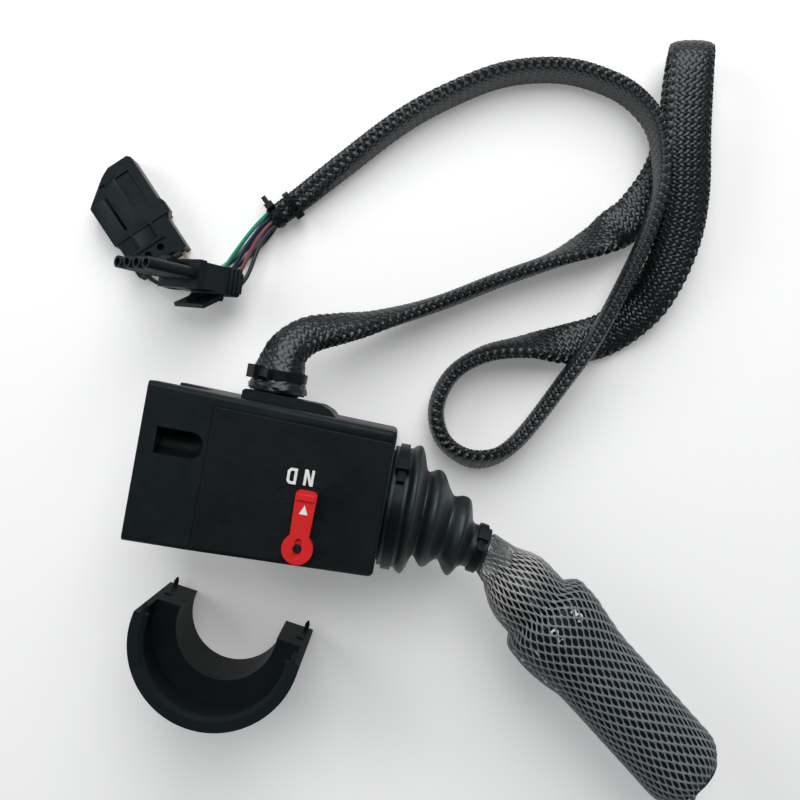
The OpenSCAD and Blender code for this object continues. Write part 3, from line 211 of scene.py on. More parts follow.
@dataclass(frozen=True)
class Finish:
    """A surface finish whose colour, gloss and relief come from procedural nodes.

    Attributes:
        name: Name of the material.
        colour: Linear base colour.
        roughness: Middle value of the roughness.
        metallic: 1 for bare metal.
        specular: Specular level of the shader.
        drift: Share by which the colour drifts over the surface.
        drift_size: Size of the drift's patches, in millimetres.
        gloss_drift: How far the roughness varies.
        texture: Kind of fine relief.
        relief: Depth of the relief, in millimetres.
        relief_size: Size of the relief's cells, in millimetres.
        dust: Share of pale dust that gathers in patches.
        sheen: Weight of the soft sheen at grazing angles.
        coat: Weight of a clear coat.
        tint: Colour of the reflections.
        dust_colour: Linear colour of the dust.
        sheen_roughness: Roughness of the sheen.
        coat_roughness: Roughness of the clear coat.
    """

    name: str
    colour: Colour
    roughness: float
    metallic: float = 0.0
    specular: float = 0.5
    drift: float = 0.2
    drift_size: float = 18.0
    gloss_drift: float = 0.08
    texture: Texture = Texture.SPARK
    relief: float = 0.03
    relief_size: float = 0.5
    dust: float = 0.0
    sheen: float = 0.0
    coat: float = 0.0
    tint: Colour = (0.78, 0.97, 1.0)
    dust_colour: Colour = (0.16, 0.17, 0.175)
    sheen_roughness: float = 0.45
    coat_roughness: float = 0.12

    def material(self) -> bpy.types.Material:
        """Returns the finish's material, made at its first use."""
        known = bpy.data.materials.get(self.name)
        return known if known else self._make()

    def _make(self) -> bpy.types.Material:
        """Makes the finish's node tree.

        Returns:
            The new material.
        """
        material = bpy.data.materials.new(self.name)
        material.use_nodes = True
        graph = Graph(material.node_tree, "Principled BSDF")
        graph.shade({
            "Metallic": self.metallic, "Specular IOR Level": self.specular, "Specular Tint": (*self.tint, 1.0),
            "Sheen Weight": self.sheen, "Sheen Roughness": self.sheen_roughness,
            "Coat Weight": self.coat, "Coat Roughness": self.coat_roughness})
        self._paint(graph)
        return material

    def _paint(self, graph: Graph) -> None:
        """Wires colour, roughness and relief to the shader.

        Args:
            graph: Node graph of the new material.
        """
        place = graph.object_place()
        colour = self._drifting(graph, place, detail=4.0)
        if self.dust:
            specks = graph.noise(place, self.drift_size * 0.35, detail=8.0)
            veil = graph.level(specks, *SPECK_SPAN, 0.0, self.dust)
            colour = graph.mix_colour(veil, colour, self.dust_colour)
        gloss = self._gloss(graph, place, self.drift_size * 0.2, detail=6.0)
        graph.shade({"Base Color": colour, "Roughness": gloss})
        if self.texture is not Texture.SMOOTH:
            graph.shade({"Normal": self._relief(graph, place)})

    def _drifting(self, graph: Graph, place: Socket, detail: float) -> Socket:
        """Returns the colour, which drifts between a darker and a paler tone."""
        dark, pale = (tuple(min(1.0, c * (1.0 + way * self.drift)) for c in self.colour) for way in (-1, 1))
        return graph.ramp(graph.noise(place, self.drift_size, detail), dark, pale, *NOISE_SPAN)

    def _gloss(self, graph: Graph, place: Socket, size: float, detail: float) -> Socket:
        """Returns the roughness, which varies in patches of a size in millimetres."""
        least, most = self.roughness - self.gloss_drift, self.roughness + self.gloss_drift
        return graph.level(graph.noise(place, size, detail), *NOISE_SPAN, least, most)

    def _relief(self, graph: Graph, place: Socket) -> Socket:
        """Builds the bump of the finish's texture.

        Args:
            graph: Node graph of the material.
            place: Socket with the object coordinates.

        Returns:
            Normal socket of the bump node.
        """
        if self.texture is Texture.BRUSHED:
            lines = graph.node("Mapping", {"Vector": place, "Scale": BRUSHING}).outputs["Vector"]
            height = graph.noise(lines, self.relief_size, detail=2.0)
        elif self.texture is Texture.SKIN:
            height = graph.noise(place, self.relief_size * 4.0, detail=9.0)
        else:
            height = graph.cells(place, self.relief_size)
        return graph.bump(height, self.relief)


@dataclass(frozen=True)
class BraidFinish(Finish):
    """Woven monofilament: fine threads run along each flat strand of the braid.

    Attributes:
        threads: Threads side by side across a strand.
        glint_size: Size of the patches of gloss, in millimetres.
    """

    threads: int = 5
    glint_size: float = 1.6

    def _paint(self, graph: Graph) -> None:
        """Wires the threads' colour, gloss and relief to the shader.

        Args:
            graph: Node graph of the new material.
        """
        ridges = graph.wave(graph.attribute("across"), math.pi * self.threads)
        place = graph.object_place()
        graph.shade({
            "Base Color": self._drifting(graph, place, detail=3.0),
            "Roughness": self._gloss(graph, place, self.glint_size, detail=2.0),
            "Normal": graph.bump(ridges, self.relief)})


@dataclass(frozen=True)
class NetFinish(Finish):
    """Net of milky polythene, paler and warmer round the neck and the front of the hub: partly the bunched
    strands' own whiteness, partly painted warm light.

    Attributes:
        bunched_and_lit: Linear colour round the neck and the hub's front, partly the bunched net's own whiteness
            and partly painted warm light.
        stain: Linear colour of the stained patches.
        stain_span: Where the noise shows as a stain.
        gloss_size: Size of the patches of gloss, in millimetres.
    """

    bunched_and_lit: Colour = (0.42, 0.415, 0.395)
    stain: Colour = (0.3, 0.27, 0.22)
    stain_span: tuple[float, float] = (0.4, 0.75)
    gloss_size: float = 3.0

    def _paint(self, graph: Graph) -> None:
        """Wires the net's colour and gloss to the shader.

        Args:
            graph: Node graph of the new material.
        """
        # Paler, warmer colour round the neck and the hub's front: partly the bunched net's own whiteness, partly
        # painted warm light.
        colour = graph.ramp(graph.attribute("bunched_and_lit_share"), self.colour, self.bunched_and_lit, 0.0, 1.0)
        place = graph.object_place()
        patches = graph.noise(place, self.drift_size, detail=4.0)
        share = graph.level(patches, *self.stain_span, 0.0, self.drift * 3.0)
        graph.shade({
            "Base Color": graph.mix_colour(share, colour, self.stain),
            "Roughness": self._gloss(graph, place, self.gloss_size, detail=3.0)})


class Palette:
    """Every finish of the selector."""

    HOUSING = Finish("housing_moulding", (0.0062, 0.0084, 0.0094), 0.46, specular=0.16, dust=0.012,
                     relief=0.016)
    # Paler copy of the housing's plastic for the column cover: painted light that lifts the shaded inside of the
    # cover. Its low specular dulls the lamp's reflection on the collar's wall.
    SHELL_PAINTED_FILL = Finish("shell_painted_fill", (0.0098, 0.0132, 0.0146), 0.52, specular=0.05, drift=0.1,
                   gloss_drift=0.03, relief=0.016)
    COVER = Finish("cover_moulding", (0.0066, 0.0074, 0.0082), 0.5, specular=0.14, dust=0.012, relief=0.02)
    RUBBER = Finish("bellows_rubber", (0.007, 0.0078, 0.0086), 0.45, specular=0.5, dust=0.012,
                    texture=Texture.SKIN, relief=0.04, relief_size=1.4, sheen=0.03)
    BOOT = Finish("boot_rubber", (0.009, 0.0092, 0.0096), 0.5, specular=0.25, texture=Texture.SKIN,
                  relief=0.04, relief_size=0.8, dust=0.03)
    GRIP = Finish("grip_rubber", (0.0065, 0.0075, 0.0088), 0.42, specular=0.25, texture=Texture.SKIN,
                  relief=0.03, relief_size=0.7)
    STEEL = Finish("brushed_steel", (0.42, 0.43, 0.45), 0.32, metallic=1.0, drift=0.12,
                   texture=Texture.BRUSHED, relief=0.01, relief_size=0.5)
    BRONZE = Finish("sintered_bronze", (0.45, 0.27, 0.11), 0.4, metallic=1.0, relief=0.012, relief_size=0.25)
    RED = Finish("red_moulding", (0.66, 0.021, 0.022), 0.36, specular=0.25, drift=0.05, relief=0.01,
                 relief_size=0.6)
    NYLON = Finish("tie_nylon", (0.0055, 0.006, 0.0066), 0.4, specular=0.16, relief=0.01, relief_size=0.5)
    BOARD = Finish("board_lacquer", (0.012, 0.085, 0.04), 0.25, relief=0.01, relief_size=0.8, coat=0.3)
    CHIP = Finish("component_moulding", (0.02, 0.02, 0.022), 0.45, relief=0.015, relief_size=0.3)
    CONNECTOR = Finish("connector_moulding", (0.0072, 0.0102, 0.012), 0.42, specular=0.19, dust=0.015,
                       relief=0.015, relief_size=0.45)
    SEAL = Finish("seal_rubber", (0.0095, 0.011, 0.0128), 0.5, specular=0.22, texture=Texture.SKIN,
                  relief=0.02, relief_size=0.6)
    NET = NetFinish("net_polythene", (0.165, 0.188, 0.197), 0.4, specular=0.4, drift=0.1, drift_size=9.0,
                    texture=Texture.SMOOTH)
    MARK = Finish("mark_paint", (0.8, 0.8, 0.78), 0.5, drift=0.06, drift_size=2.0, relief=0.01,
                  relief_size=0.4)
    BRAID = BraidFinish("woven_monofilament", (0.0045, 0.0062, 0.0072), 0.3, specular=0.5, drift=0.35,
                        drift_size=7.0, gloss_drift=0.07, relief=0.004, tint=(0.92, 0.98, 1.0))
    OXIDE = Finish("oxide_steel", (0.02, 0.02, 0.022), 0.4, metallic=0.6, drift=0.15, texture=Texture.BRUSHED,
                   relief=0.008, relief_size=0.4)
    CORE = Finish("sleeve_core", (0.004, 0.004, 0.0045), 0.7, specular=0.1, relief=0.03, relief_size=0.6)

    @staticmethod
    def wire(name: str, colour: Colour) -> Finish:
        """Returns the finish of one wire's insulation."""
        return Finish(f"wire_{name}", colour, 0.32, specular=0.45, drift=0.1, drift_size=6.0,
                      texture=Texture.SKIN, relief=0.01, relief_size=0.5)


class Form:
    """A bmesh in millimetres with the bench's shaping steps."""

    def __init__(self) -> None:
        """Starts empty."""
        self.bm = bmesh.new()

    def _loop(self, points: Sequence[Sequence[float]]) -> Loop:
        """Adds a closed line and returns its vertices and edges."""
        verts = [self.bm.verts.new(point) for point in points]
        return verts, [self.bm.edges.new(pair) for pair in zip(verts, verts[1:] + verts[:1])]

    def turned(self, profile: Sequence[tuple[float, float]], steps: int) -> Form:
        """Spins a closed profile round the X axis.

        Args:
            profile: Points as (place along X, radius).
            steps: Steps of the full turn.

        Returns:
            This form.
        """
        verts, edges = self._loop([(x, 0.0, r) for x, r in profile])
        bmesh.ops.spin(self.bm, geom=verts + edges, cent=(0, 0, 0), axis=(1, 0, 0), angle=math.tau, steps=steps,
                       use_merge=True, dvec=(0, 0, 0))
        return self.merged().outward()

    def plate(self, outline: Sequence[tuple[float, float]], thick: float) -> Form:
        """Adds a flat plate that stands on the XY plane.

        Args:
            outline: Points in the XY plane.
            thick: Thickness of the plate.

        Returns:
            This form.
        """
        face = self.bm.faces.new([self.bm.verts.new((x, y, 0.0)) for x, y in outline])
        grown = bmesh.ops.extrude_face_region(self.bm, geom=[face])
        top = [v for v in grown["geom"] if isinstance(v, bmesh.types.BMVert)]
        bmesh.ops.translate(self.bm, vec=(0, 0, thick), verts=top)
        return self.outward()

    def swept(self, rings: Sequence[Sequence[Vector]], capped: bool = True) -> Form:
        """Draws a ring of points out through further rings.

        Args:
            rings: Rings of equal length.
            capped: True to close both ends of the tube.

        Returns:
            This form.
        """
        verts, edges = self._loop(rings[0])
        if capped:
            self.bm.faces.new(verts)
        for ring in rings[1:]:
            grown = bmesh.ops.extrude_edge_only(self.bm, edges=edges)
            fresh = [g for g in grown["geom"] if isinstance(g, bmesh.types.BMVert)]
            edges = [g for g in grown["geom"] if isinstance(g, bmesh.types.BMEdge)]
            for vert, place in zip(fresh, ring):
                vert.co = place
        if capped:
            bmesh.ops.contextual_create(self.bm, geom=edges)
        return self

    def mapped(self, rule: Callable[[Vector], Vector]) -> Form:
        """Moves every point.

        Args:
            rule: Gives the new place of a point.

        Returns:
            This form.
        """
        for vert in self.bm.verts:
            vert.co = rule(vert.co.copy())
        return self

    def placed(self, matrix: Matrix) -> Form:
        """Moves the whole form by a matrix and returns it."""
        bmesh.ops.transform(self.bm, matrix=matrix, verts=self.bm.verts)
        return self

    def merged(self) -> Form:
        """Merges points that lie on each other and returns this form."""
        bmesh.ops.remove_doubles(self.bm, verts=self.bm.verts, dist=MERGE)
        return self

    def outward(self) -> Form:
        """Turns every face outwards and returns this form."""
        bmesh.ops.recalc_face_normals(self.bm, faces=self.bm.faces)
        return self

    def joined(self, other: Form) -> Form:
        """Takes over another form's mesh.

        Args:
            other: Form that is used up.

        Returns:
            This form.
        """
        spare = bpy.data.meshes.new("spare")
        other.bm.to_mesh(spare)
        other.bm.free()
        self.bm.from_mesh(spare)
        bpy.data.meshes.remove(spare)
        return self


@dataclass
class Bench:
    """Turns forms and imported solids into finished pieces.

    Attributes:
        nodes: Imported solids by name.
        weld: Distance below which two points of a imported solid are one, in metres.
        flat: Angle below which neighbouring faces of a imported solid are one, in degrees.
        sharp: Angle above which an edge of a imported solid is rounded, in degrees.
    """

    nodes: Nodes
    weld: float = 2e-6
    flat: float = 0.6
    sharp: float = 28.0

    def piece(self, name: str, form: Form, finish: Finish, body: Body | None,
              replaces: Sequence[str] = (), smooth: float = 35.0) -> bpy.types.Object:
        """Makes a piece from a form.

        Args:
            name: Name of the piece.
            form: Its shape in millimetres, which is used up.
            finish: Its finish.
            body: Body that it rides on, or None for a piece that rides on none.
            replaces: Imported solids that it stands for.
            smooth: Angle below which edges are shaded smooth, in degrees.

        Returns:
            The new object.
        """
        form.placed(Matrix.Scale(MM, 4))
        mesh = bpy.data.meshes.new(name)
        form.bm.to_mesh(mesh)
        form.bm.free()
        return self.adopt(name, mesh, finish, body, replaces, smooth)

    def adopt(self, name: str, mesh: bpy.types.Mesh, finish: Finish, body: Body | None,
              replaces: Sequence[str], smooth: float) -> bpy.types.Object:
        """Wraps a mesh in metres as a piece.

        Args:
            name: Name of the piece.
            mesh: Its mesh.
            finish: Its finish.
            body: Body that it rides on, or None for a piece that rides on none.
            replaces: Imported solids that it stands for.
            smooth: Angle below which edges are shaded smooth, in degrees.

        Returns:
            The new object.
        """
        mesh.shade_smooth()
        mesh.set_sharp_from_angle(angle=math.radians(smooth))
        mesh.materials.append(finish.material())
        obj = bpy.data.objects.new(name, mesh)
        bpy.context.scene.collection.objects.link(obj)
        if body:
            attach(obj, body.value)
        if replaces:
            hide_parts(*replaces)
        LOG.info("%s is finished", name)
        return obj

    def skin(self, node: str, finish: Finish, body: Body, slot: str, edge: float,
             segments: int = 2) -> bpy.types.Object:
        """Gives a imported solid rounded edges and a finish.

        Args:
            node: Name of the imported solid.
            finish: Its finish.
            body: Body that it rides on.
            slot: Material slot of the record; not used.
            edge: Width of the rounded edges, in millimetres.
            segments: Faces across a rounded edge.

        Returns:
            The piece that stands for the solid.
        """
        bm = bmesh.new()
        bm.from_mesh(self.nodes[node].data)
        bmesh.ops.remove_doubles(bm, verts=bm.verts, dist=self.weld)
        bmesh.ops.dissolve_limit(bm, angle_limit=math.radians(self.flat), verts=bm.verts, edges=bm.edges,
                                 use_dissolve_boundaries=False)
        mesh = bpy.data.meshes.new(f"{node}_skin")
        bm.to_mesh(mesh)
        bm.free()
        obj = self.adopt(f"{node}_skin", mesh, finish, body, (node,), self.sharp)
        rounding = obj.modifiers.new("rounded_edges", "BEVEL")
        rounding.width = edge * MM
        rounding.segments = segments
        rounding.limit_method = "ANGLE"
        rounding.angle_limit = math.radians(self.sharp)
        rounding.profile = 0.5
        rounding.harden_normals = True
        rounding.miter_outer = "MITER_ARC"
        return obj

    def paint(self, node: str, finish: Finish) -> None:
        """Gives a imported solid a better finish.

        Args:
            node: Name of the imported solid.
            finish: Its finish.
        """
        mesh = self.nodes[node].data
        mesh.materials.clear()
        mesh.materials.append(finish.material())


@dataclass
class LeverLine:
    """Where the bent lever runs."""

    pivot: Vector = field(default_factory=lambda: Vector((88.0, -4.0, 0.0)))
    rod_tilt: float = 9.5
    rod_reach: float = 85.0
    grip_angle: float = 38.0
    bend_r: float = 18.0

    def rod(self) -> Matrix:
        """Returns the frame with X along the straight rod, from the pivot."""
        return Matrix.Translation(self.pivot) @ Matrix.Rotation(math.radians(-self.rod_tilt), 4, "Z")

    def grip(self) -> Matrix:
        """Returns the frame with X along the grip, from the bend."""
        bend = Matrix.Rotation(math.radians(self.rod_tilt - self.grip_angle), 4, "Z")
        return self.rod() @ Matrix.Translation((self.rod_reach, 0, 0)) @ bend

    def along(self, s: float) -> Matrix:
        """Finds the frame at a place along the bent lever.

        Args:
            s: Distance along the grip from the bend's corner; the bend and the rod lie before it.

        Returns:
            Frame with X along the lever and Z up.
        """
        bend = math.radians(self.grip_angle - self.rod_tilt)
        tangent = self.bend_r * math.tan(bend / 2)
        if s >= tangent:
            return self.grip() @ Matrix.Translation((s, 0, 0))
        start = self.rod() @ Matrix.Translation((self.rod_reach - tangent, 0, 0))
        left = s - tangent + bend * self.bend_r
        if left <= 0:
            return start @ Matrix.Translation((left, 0, 0))
        centre = Matrix.Translation((0, -self.bend_r, 0))
        turn = Matrix.Rotation(-left / self.bend_r, 4, "Z")
        return start @ centre @ turn @ centre.inverted()


@dataclass(frozen=True)
class Section:
    """One cross-section of the flat sleeve.

    Attributes:
        place: Its centre.
        along: Direction of the sleeve.
        wide: Direction of the sleeve's width.
        half_w: Half its width.
        half_t: Half its thickness.
        angles: Angles at equal steps of the distance round it.
    """

    place: Vector
    along: Vector
    wide: Vector
    half_w: float
    half_t: float
    angles: tuple[float, ...]

    def point(self, share: float, lift: float) -> Vector:
        """Finds a point on, above or under the surface.

        Args:
            share: Share of the way round the section.
            lift: Height above the surface.

        Returns:
            The point.
        """
        steps = len(self.angles) - 1
        spot = (share % 1.0) * steps
        low = min(int(spot), steps - 1)
        angle = self.angles[low] + (self.angles[low + 1] - self.angles[low]) * (spot - low)
        flat = self.along.cross(self.wide)
        x, y = rounded(angle, self.half_w + lift, self.half_t + lift)
        return self.place + self.wide * x + flat * y


def rounded(angle: float, half_w: float, half_t: float, fullness: float = 0.8) -> tuple[float, float]:
    """Finds the point at an angle of a rounded outline, fuller than an ellipse where fullness is below 1."""
    c, s = math.cos(angle), math.sin(angle)
    return math.copysign(abs(c) ** fullness, c) * half_w, math.copysign(abs(s) ** fullness, s) * half_t


def even_angles(half_w: float, half_t: float, steps: int = 56, fine: int = 224) -> tuple[float, ...]:
    """Finds the angles that walk round a rounded outline in equal steps.

    Args:
        half_w: Half its width.
        half_t: Half its height.
        steps: Number of steps.
        fine: Number of chords that the way round is measured with.

    Returns:
        The angles, from 0 to a full turn.
    """
    walk = [0.0]
    last = rounded(0.0, half_w, half_t)
    for k in range(1, fine + 1):
        here = rounded(math.tau * k / fine, half_w, half_t)
        walk.append(walk[-1] + math.dist(last, here))
        last = here
    found, k = [], 0
    for i in range(steps + 1):
        goal = walk[-1] * i / steps
        while k < fine - 1 and walk[k + 1] < goal:
            k += 1
        found.append(math.tau / fine * (k + (goal - walk[k]) / (walk[k + 1] - walk[k])))
    return tuple(found)


def curve_through(points: Sequence[Sequence[float]], step: int) -> list[list[float]]:
    """Draws a smooth line through rows of numbers.

    Args:
        points: Rows of equal length.
        step: Pieces between neighbouring rows.

    Returns:
        Rows along the line.
    """
    rows: list[list[float]] = []
    last = len(points) - 1
    for i in range(last):
        p0, p1 = points[max(i - 1, 0)], points[i]
        p2, p3 = points[i + 1], points[min(i + 2, last)]
        for k in range(step):
            t = k / step
            rows.append([0.5 * (2 * b + (c - a) * t + (2 * a - 5 * b + 4 * c - d) * t * t
                                + (3 * b - a - 3 * c + d) * t ** 3)
                         for a, b, c, d in zip(p0, p1, p2, p3)])
    rows.append(list(points[-1]))
    return rows


def even_rows(rows: Sequence[Sequence[float]], step: float) -> list[list[float]]:
    """Picks rows at equal distances along a line.

    Args:
        rows: Rows whose first three numbers are a place.
        step: Distance between the rows.

    Returns:
        The rows, the first and the last among them.
    """
    walk = [0.0]
    for a, b in zip(rows, rows[1:]):
        walk.append(walk[-1] + math.dist(a[:3], b[:3]))
    count = max(2, round(walk[-1] / step))
    found, k = [], 0
    for i in range(count + 1):
        goal = walk[-1] * i / count
        while k < len(rows) - 2 and walk[k + 1] < goal:
            k += 1
        share = (goal - walk[k]) / (walk[k + 1] - walk[k])
        found.append([a + (b - a) * share for a, b in zip(rows[k], rows[k + 1])])
    return found


@dataclass
class BraidedSleeve:
    """Flat braided sleeve of the lead: a dark core under two crossing families of flat strands.

    Attributes:
        boot: Rows over the boot, like those of the route.
        route: Place, compass direction and tilt of the width in degrees, half the width and half the thickness.
        usual: Half the width and half the thickness of the rows that don't give them.
        strands: Strands of each family.
        lay: Length in which a strand goes round once.
        cover: Width of the strands as a share of the room they have.
        crown: Height of a strand's middle above its edges.
        weave: Height of a strand at four steps, over one strand and under the next.
        crumple: Depth of the ripples over the boot.
        crumpled_l: Length in which the ripples fade.
        ripples: Ripples round the sleeve.
        ripple_turn: How fast the ripples turn round the sleeve, in radians per millimetre.
        ripple_beat: How fast they rise and fall along it, in radians per millimetre.
        core_drop: Depth of the core under the sleeve's surface.
        core_sides: Points round the core.
        bare_from: Distance at which the sleeve has left the boot.
    """

    boot: tuple[tuple[float, ...], ...] = (
        (56, 41, 0, 0, 0, 13.9, 13.9), (56, 43.4, 0, 0, 0, 13.7, 13.7), (56, 46.3, 0, 0, 0, 12.3, 12.3),
        (56, 49.4, 0, 0, 0, 12.2, 12.2))
    route: tuple[tuple[float, ...], ...] = (
        (56, 53.2, 0, 0, 0, 11.4, 10.8), (58, 62, -1, -10, 0, 9.8, 8), (66, 71, -6, -40, 10, 8.8, 6.5),
        (80, 77.5, -14, -60, 42, 8.8, 5), (98, 85.5, -23, -64, 70, 9.8, 4.2),
        (127, 100.3, -30.2, -61, 86, 11, 3.6), (156, 118, -30.7, -59, 87), (180, 131.8, -30.5, -57, 80),
        (203, 147.5, -31.5, -50, 42), (213, 157, -36.5, -45, 10), (221, 166, -38, -40, 4),
        (231, 187, -38.2, -20, 0), (235, 212, -38.2, 2, 0), (234, 236, -38.2, 7, 0), (232.8, 247, -34.2, 9, 0),
        (231.5, 250.5, -25.5, 10, 0), (230.2, 247, -17, 10, 0), (230.5, 236, -13, 10, 0),
        (234.8, 205, -14, 9, 0), (240.3, 178, -18, 7, 0), (241.5, 154, -23, -5, 8), (237, 130, -29, -20, 15),
        (229.5, 114.5, -34.5, -35, 12), (214.5, 99.5, -38, -52, 0), (195, 91, -34, -72, 28),
        (175, 86, -30.6, -76, 65), (155, 78.5, -30.6, -62, 80), (140, 65, -31, -40, 88), (135, 46, -31, 0, 88),
        (143, 29.5, -31, 45, 85), (161, 24, -30.5, 100, 75), (178.5, 36, -30.7, 140, 85),
        (199, 76, -23.5, 155, 88), (208.8, 98, -20.5, 158, 88), (221.5, 138, -21.5, 164, 88),
        (226.5, 161, -21.5, 170, 88), (227.2, 182, -21, 177, 90), (221.5, 207, -25.5, 200, 93),
        (208, 222, -29.4, 220, 96), (190, 228.5, -30.2, 245, 97), (167, 229.8, -30.2, 270, 98),
        (139, 222.5, -30.2, 297, 99), (112, 206.3, -30.5, 306, 100, 10.5, 3.8),
        (90, 188.5, -31.3, 311, 102, 9.5, 4.2), (66, 163, -32.6, 314, 106, 8, 4.6),
        (48, 143.5, -34.6, 315, 110, 6, 5), (33.5, 128.5, -35.3, 315, 120, 5, 4.8))
    usual: tuple[float, float] = (11, 3.5)
    strands: int = 14
    lay: float = 60.0
    cover: float = 1.02
    crown: float = 0.66
    weave: tuple[float, ...] = (0.0, -0.28, -0.56, -0.28)
    crumple: float = 0.55
    crumpled_l: float = 26.0
    ripples: int = 5
    ripple_turn: float = 0.9
    ripple_beat: float = 0.6
    core_drop: float = 0.8
    core_sides: int = 20
    bare_from: float = 16.0

    def _pitch(self) -> float:
        """Returns the distance between sections, of which a strand passes four per crossing strand."""
        return self.lay / (4 * self.strands)

    def sections(self) -> list[Section]:
        """Cuts the sleeve at equal distances along the boot and the route.

        Returns:
            The sections.
        """
        rows = []
        for row in self.boot + self.route:
            x, y, z, compass, tilt, half_w, half_t = (*row, *self.usual)[:7]
            c, t = math.radians(compass), math.radians(tilt)
            wide = (math.cos(t) * math.cos(c), math.cos(t) * math.sin(c), math.sin(t))
            rows.append((x, y, z, *wide, half_w, half_t))
        fine = even_rows(curve_through(rows, 24), self._pitch())
        places = [Vector(row[:3]) for row in fine]
        known: dict[tuple[float, float], tuple[float, ...]] = {}
        found = []
        for i, row in enumerate(fine):
            along = (places[min(i + 1, len(fine) - 1)] - places[max(i - 1, 0)]).normalized()
            wide = Vector(row[3:6])
            wide = (wide - along * wide.dot(along)).normalized()
            key = (round(row[6], 1), round(row[7], 1))
            if key not in known:
                known[key] = even_angles(*key)
            found.append(Section(places[i], along, wide, row[6], row[7], known[key]))
        return found

    def _strand(self, sections: Sequence[Section], index: int, turn: int) -> Form:
        """Weaves one flat strand over and under the strands that cross it.

        Args:
            sections: Sections of the sleeve.
            index: Which strand of its family.
            turn: 1 or -1 for the two families.

        Returns:
            The strand.
        """
        step = 1.0 / (4 * self.strands)
        phase = 0 if turn > 0 else 2
        half = self.cover / self.strands / 2
        rings: list[list[Vector]] = []
        for i, section in enumerate(sections):
            share = turn * step * i + index / self.strands
            walk = self.lay * step * i
            slack = self.crumple * max(0.0, 1.0 - walk / self.crumpled_l)
            ripple = slack * math.sin(math.tau * self.ripples * share + self.ripple_turn * walk)
            lift = self.weave[(i + phase) % 4] + ripple * math.cos(self.ripple_beat * walk)
            rings.append([section.point(share - half, lift), section.point(share, lift + self.crown),
                          section.point(share + half, lift)])
        return Form().swept(rings).outward()

    def build(self, bench: Bench) -> bpy.types.Object:
        """Weaves the sleeve.

        Args:
            bench: Bench that finishes pieces.

        Returns:
            The sleeve.
        """
        sections = self.sections()
        bare = sections[round(self.bare_from / self._pitch()):]
        core = [[s.point(k / self.core_sides, -self.core_drop) for k in range(self.core_sides)]
                for s in bare[::4] + bare[-1:]]
        form = Form().swept(core).outward()
        across = [0.0] * len(form.bm.verts)
        for turn in (1, -1):
            for index in range(self.strands):
                form.joined(self._strand(sections, index, turn))
                across += [-1.0, 0.0, 1.0] * len(sections)
        sleeve = bench.piece("braided_sleeve", form, Palette.BRAID, Body.HOUSING,
                             ("loom_sleeve",), 60)
        layer = sleeve.data.attributes.new("across", "FLOAT", "POINT")
        layer.data.foreach_set("value", across)
        return sleeve

    def declare(self, carried: Sequence[bpy.types.Object]) -> None:
        """Cuts the sleeve into its sections and keeps nothing.

        Args:
            carried: Pieces on the lead; not used.
        """
        sections = self.sections()


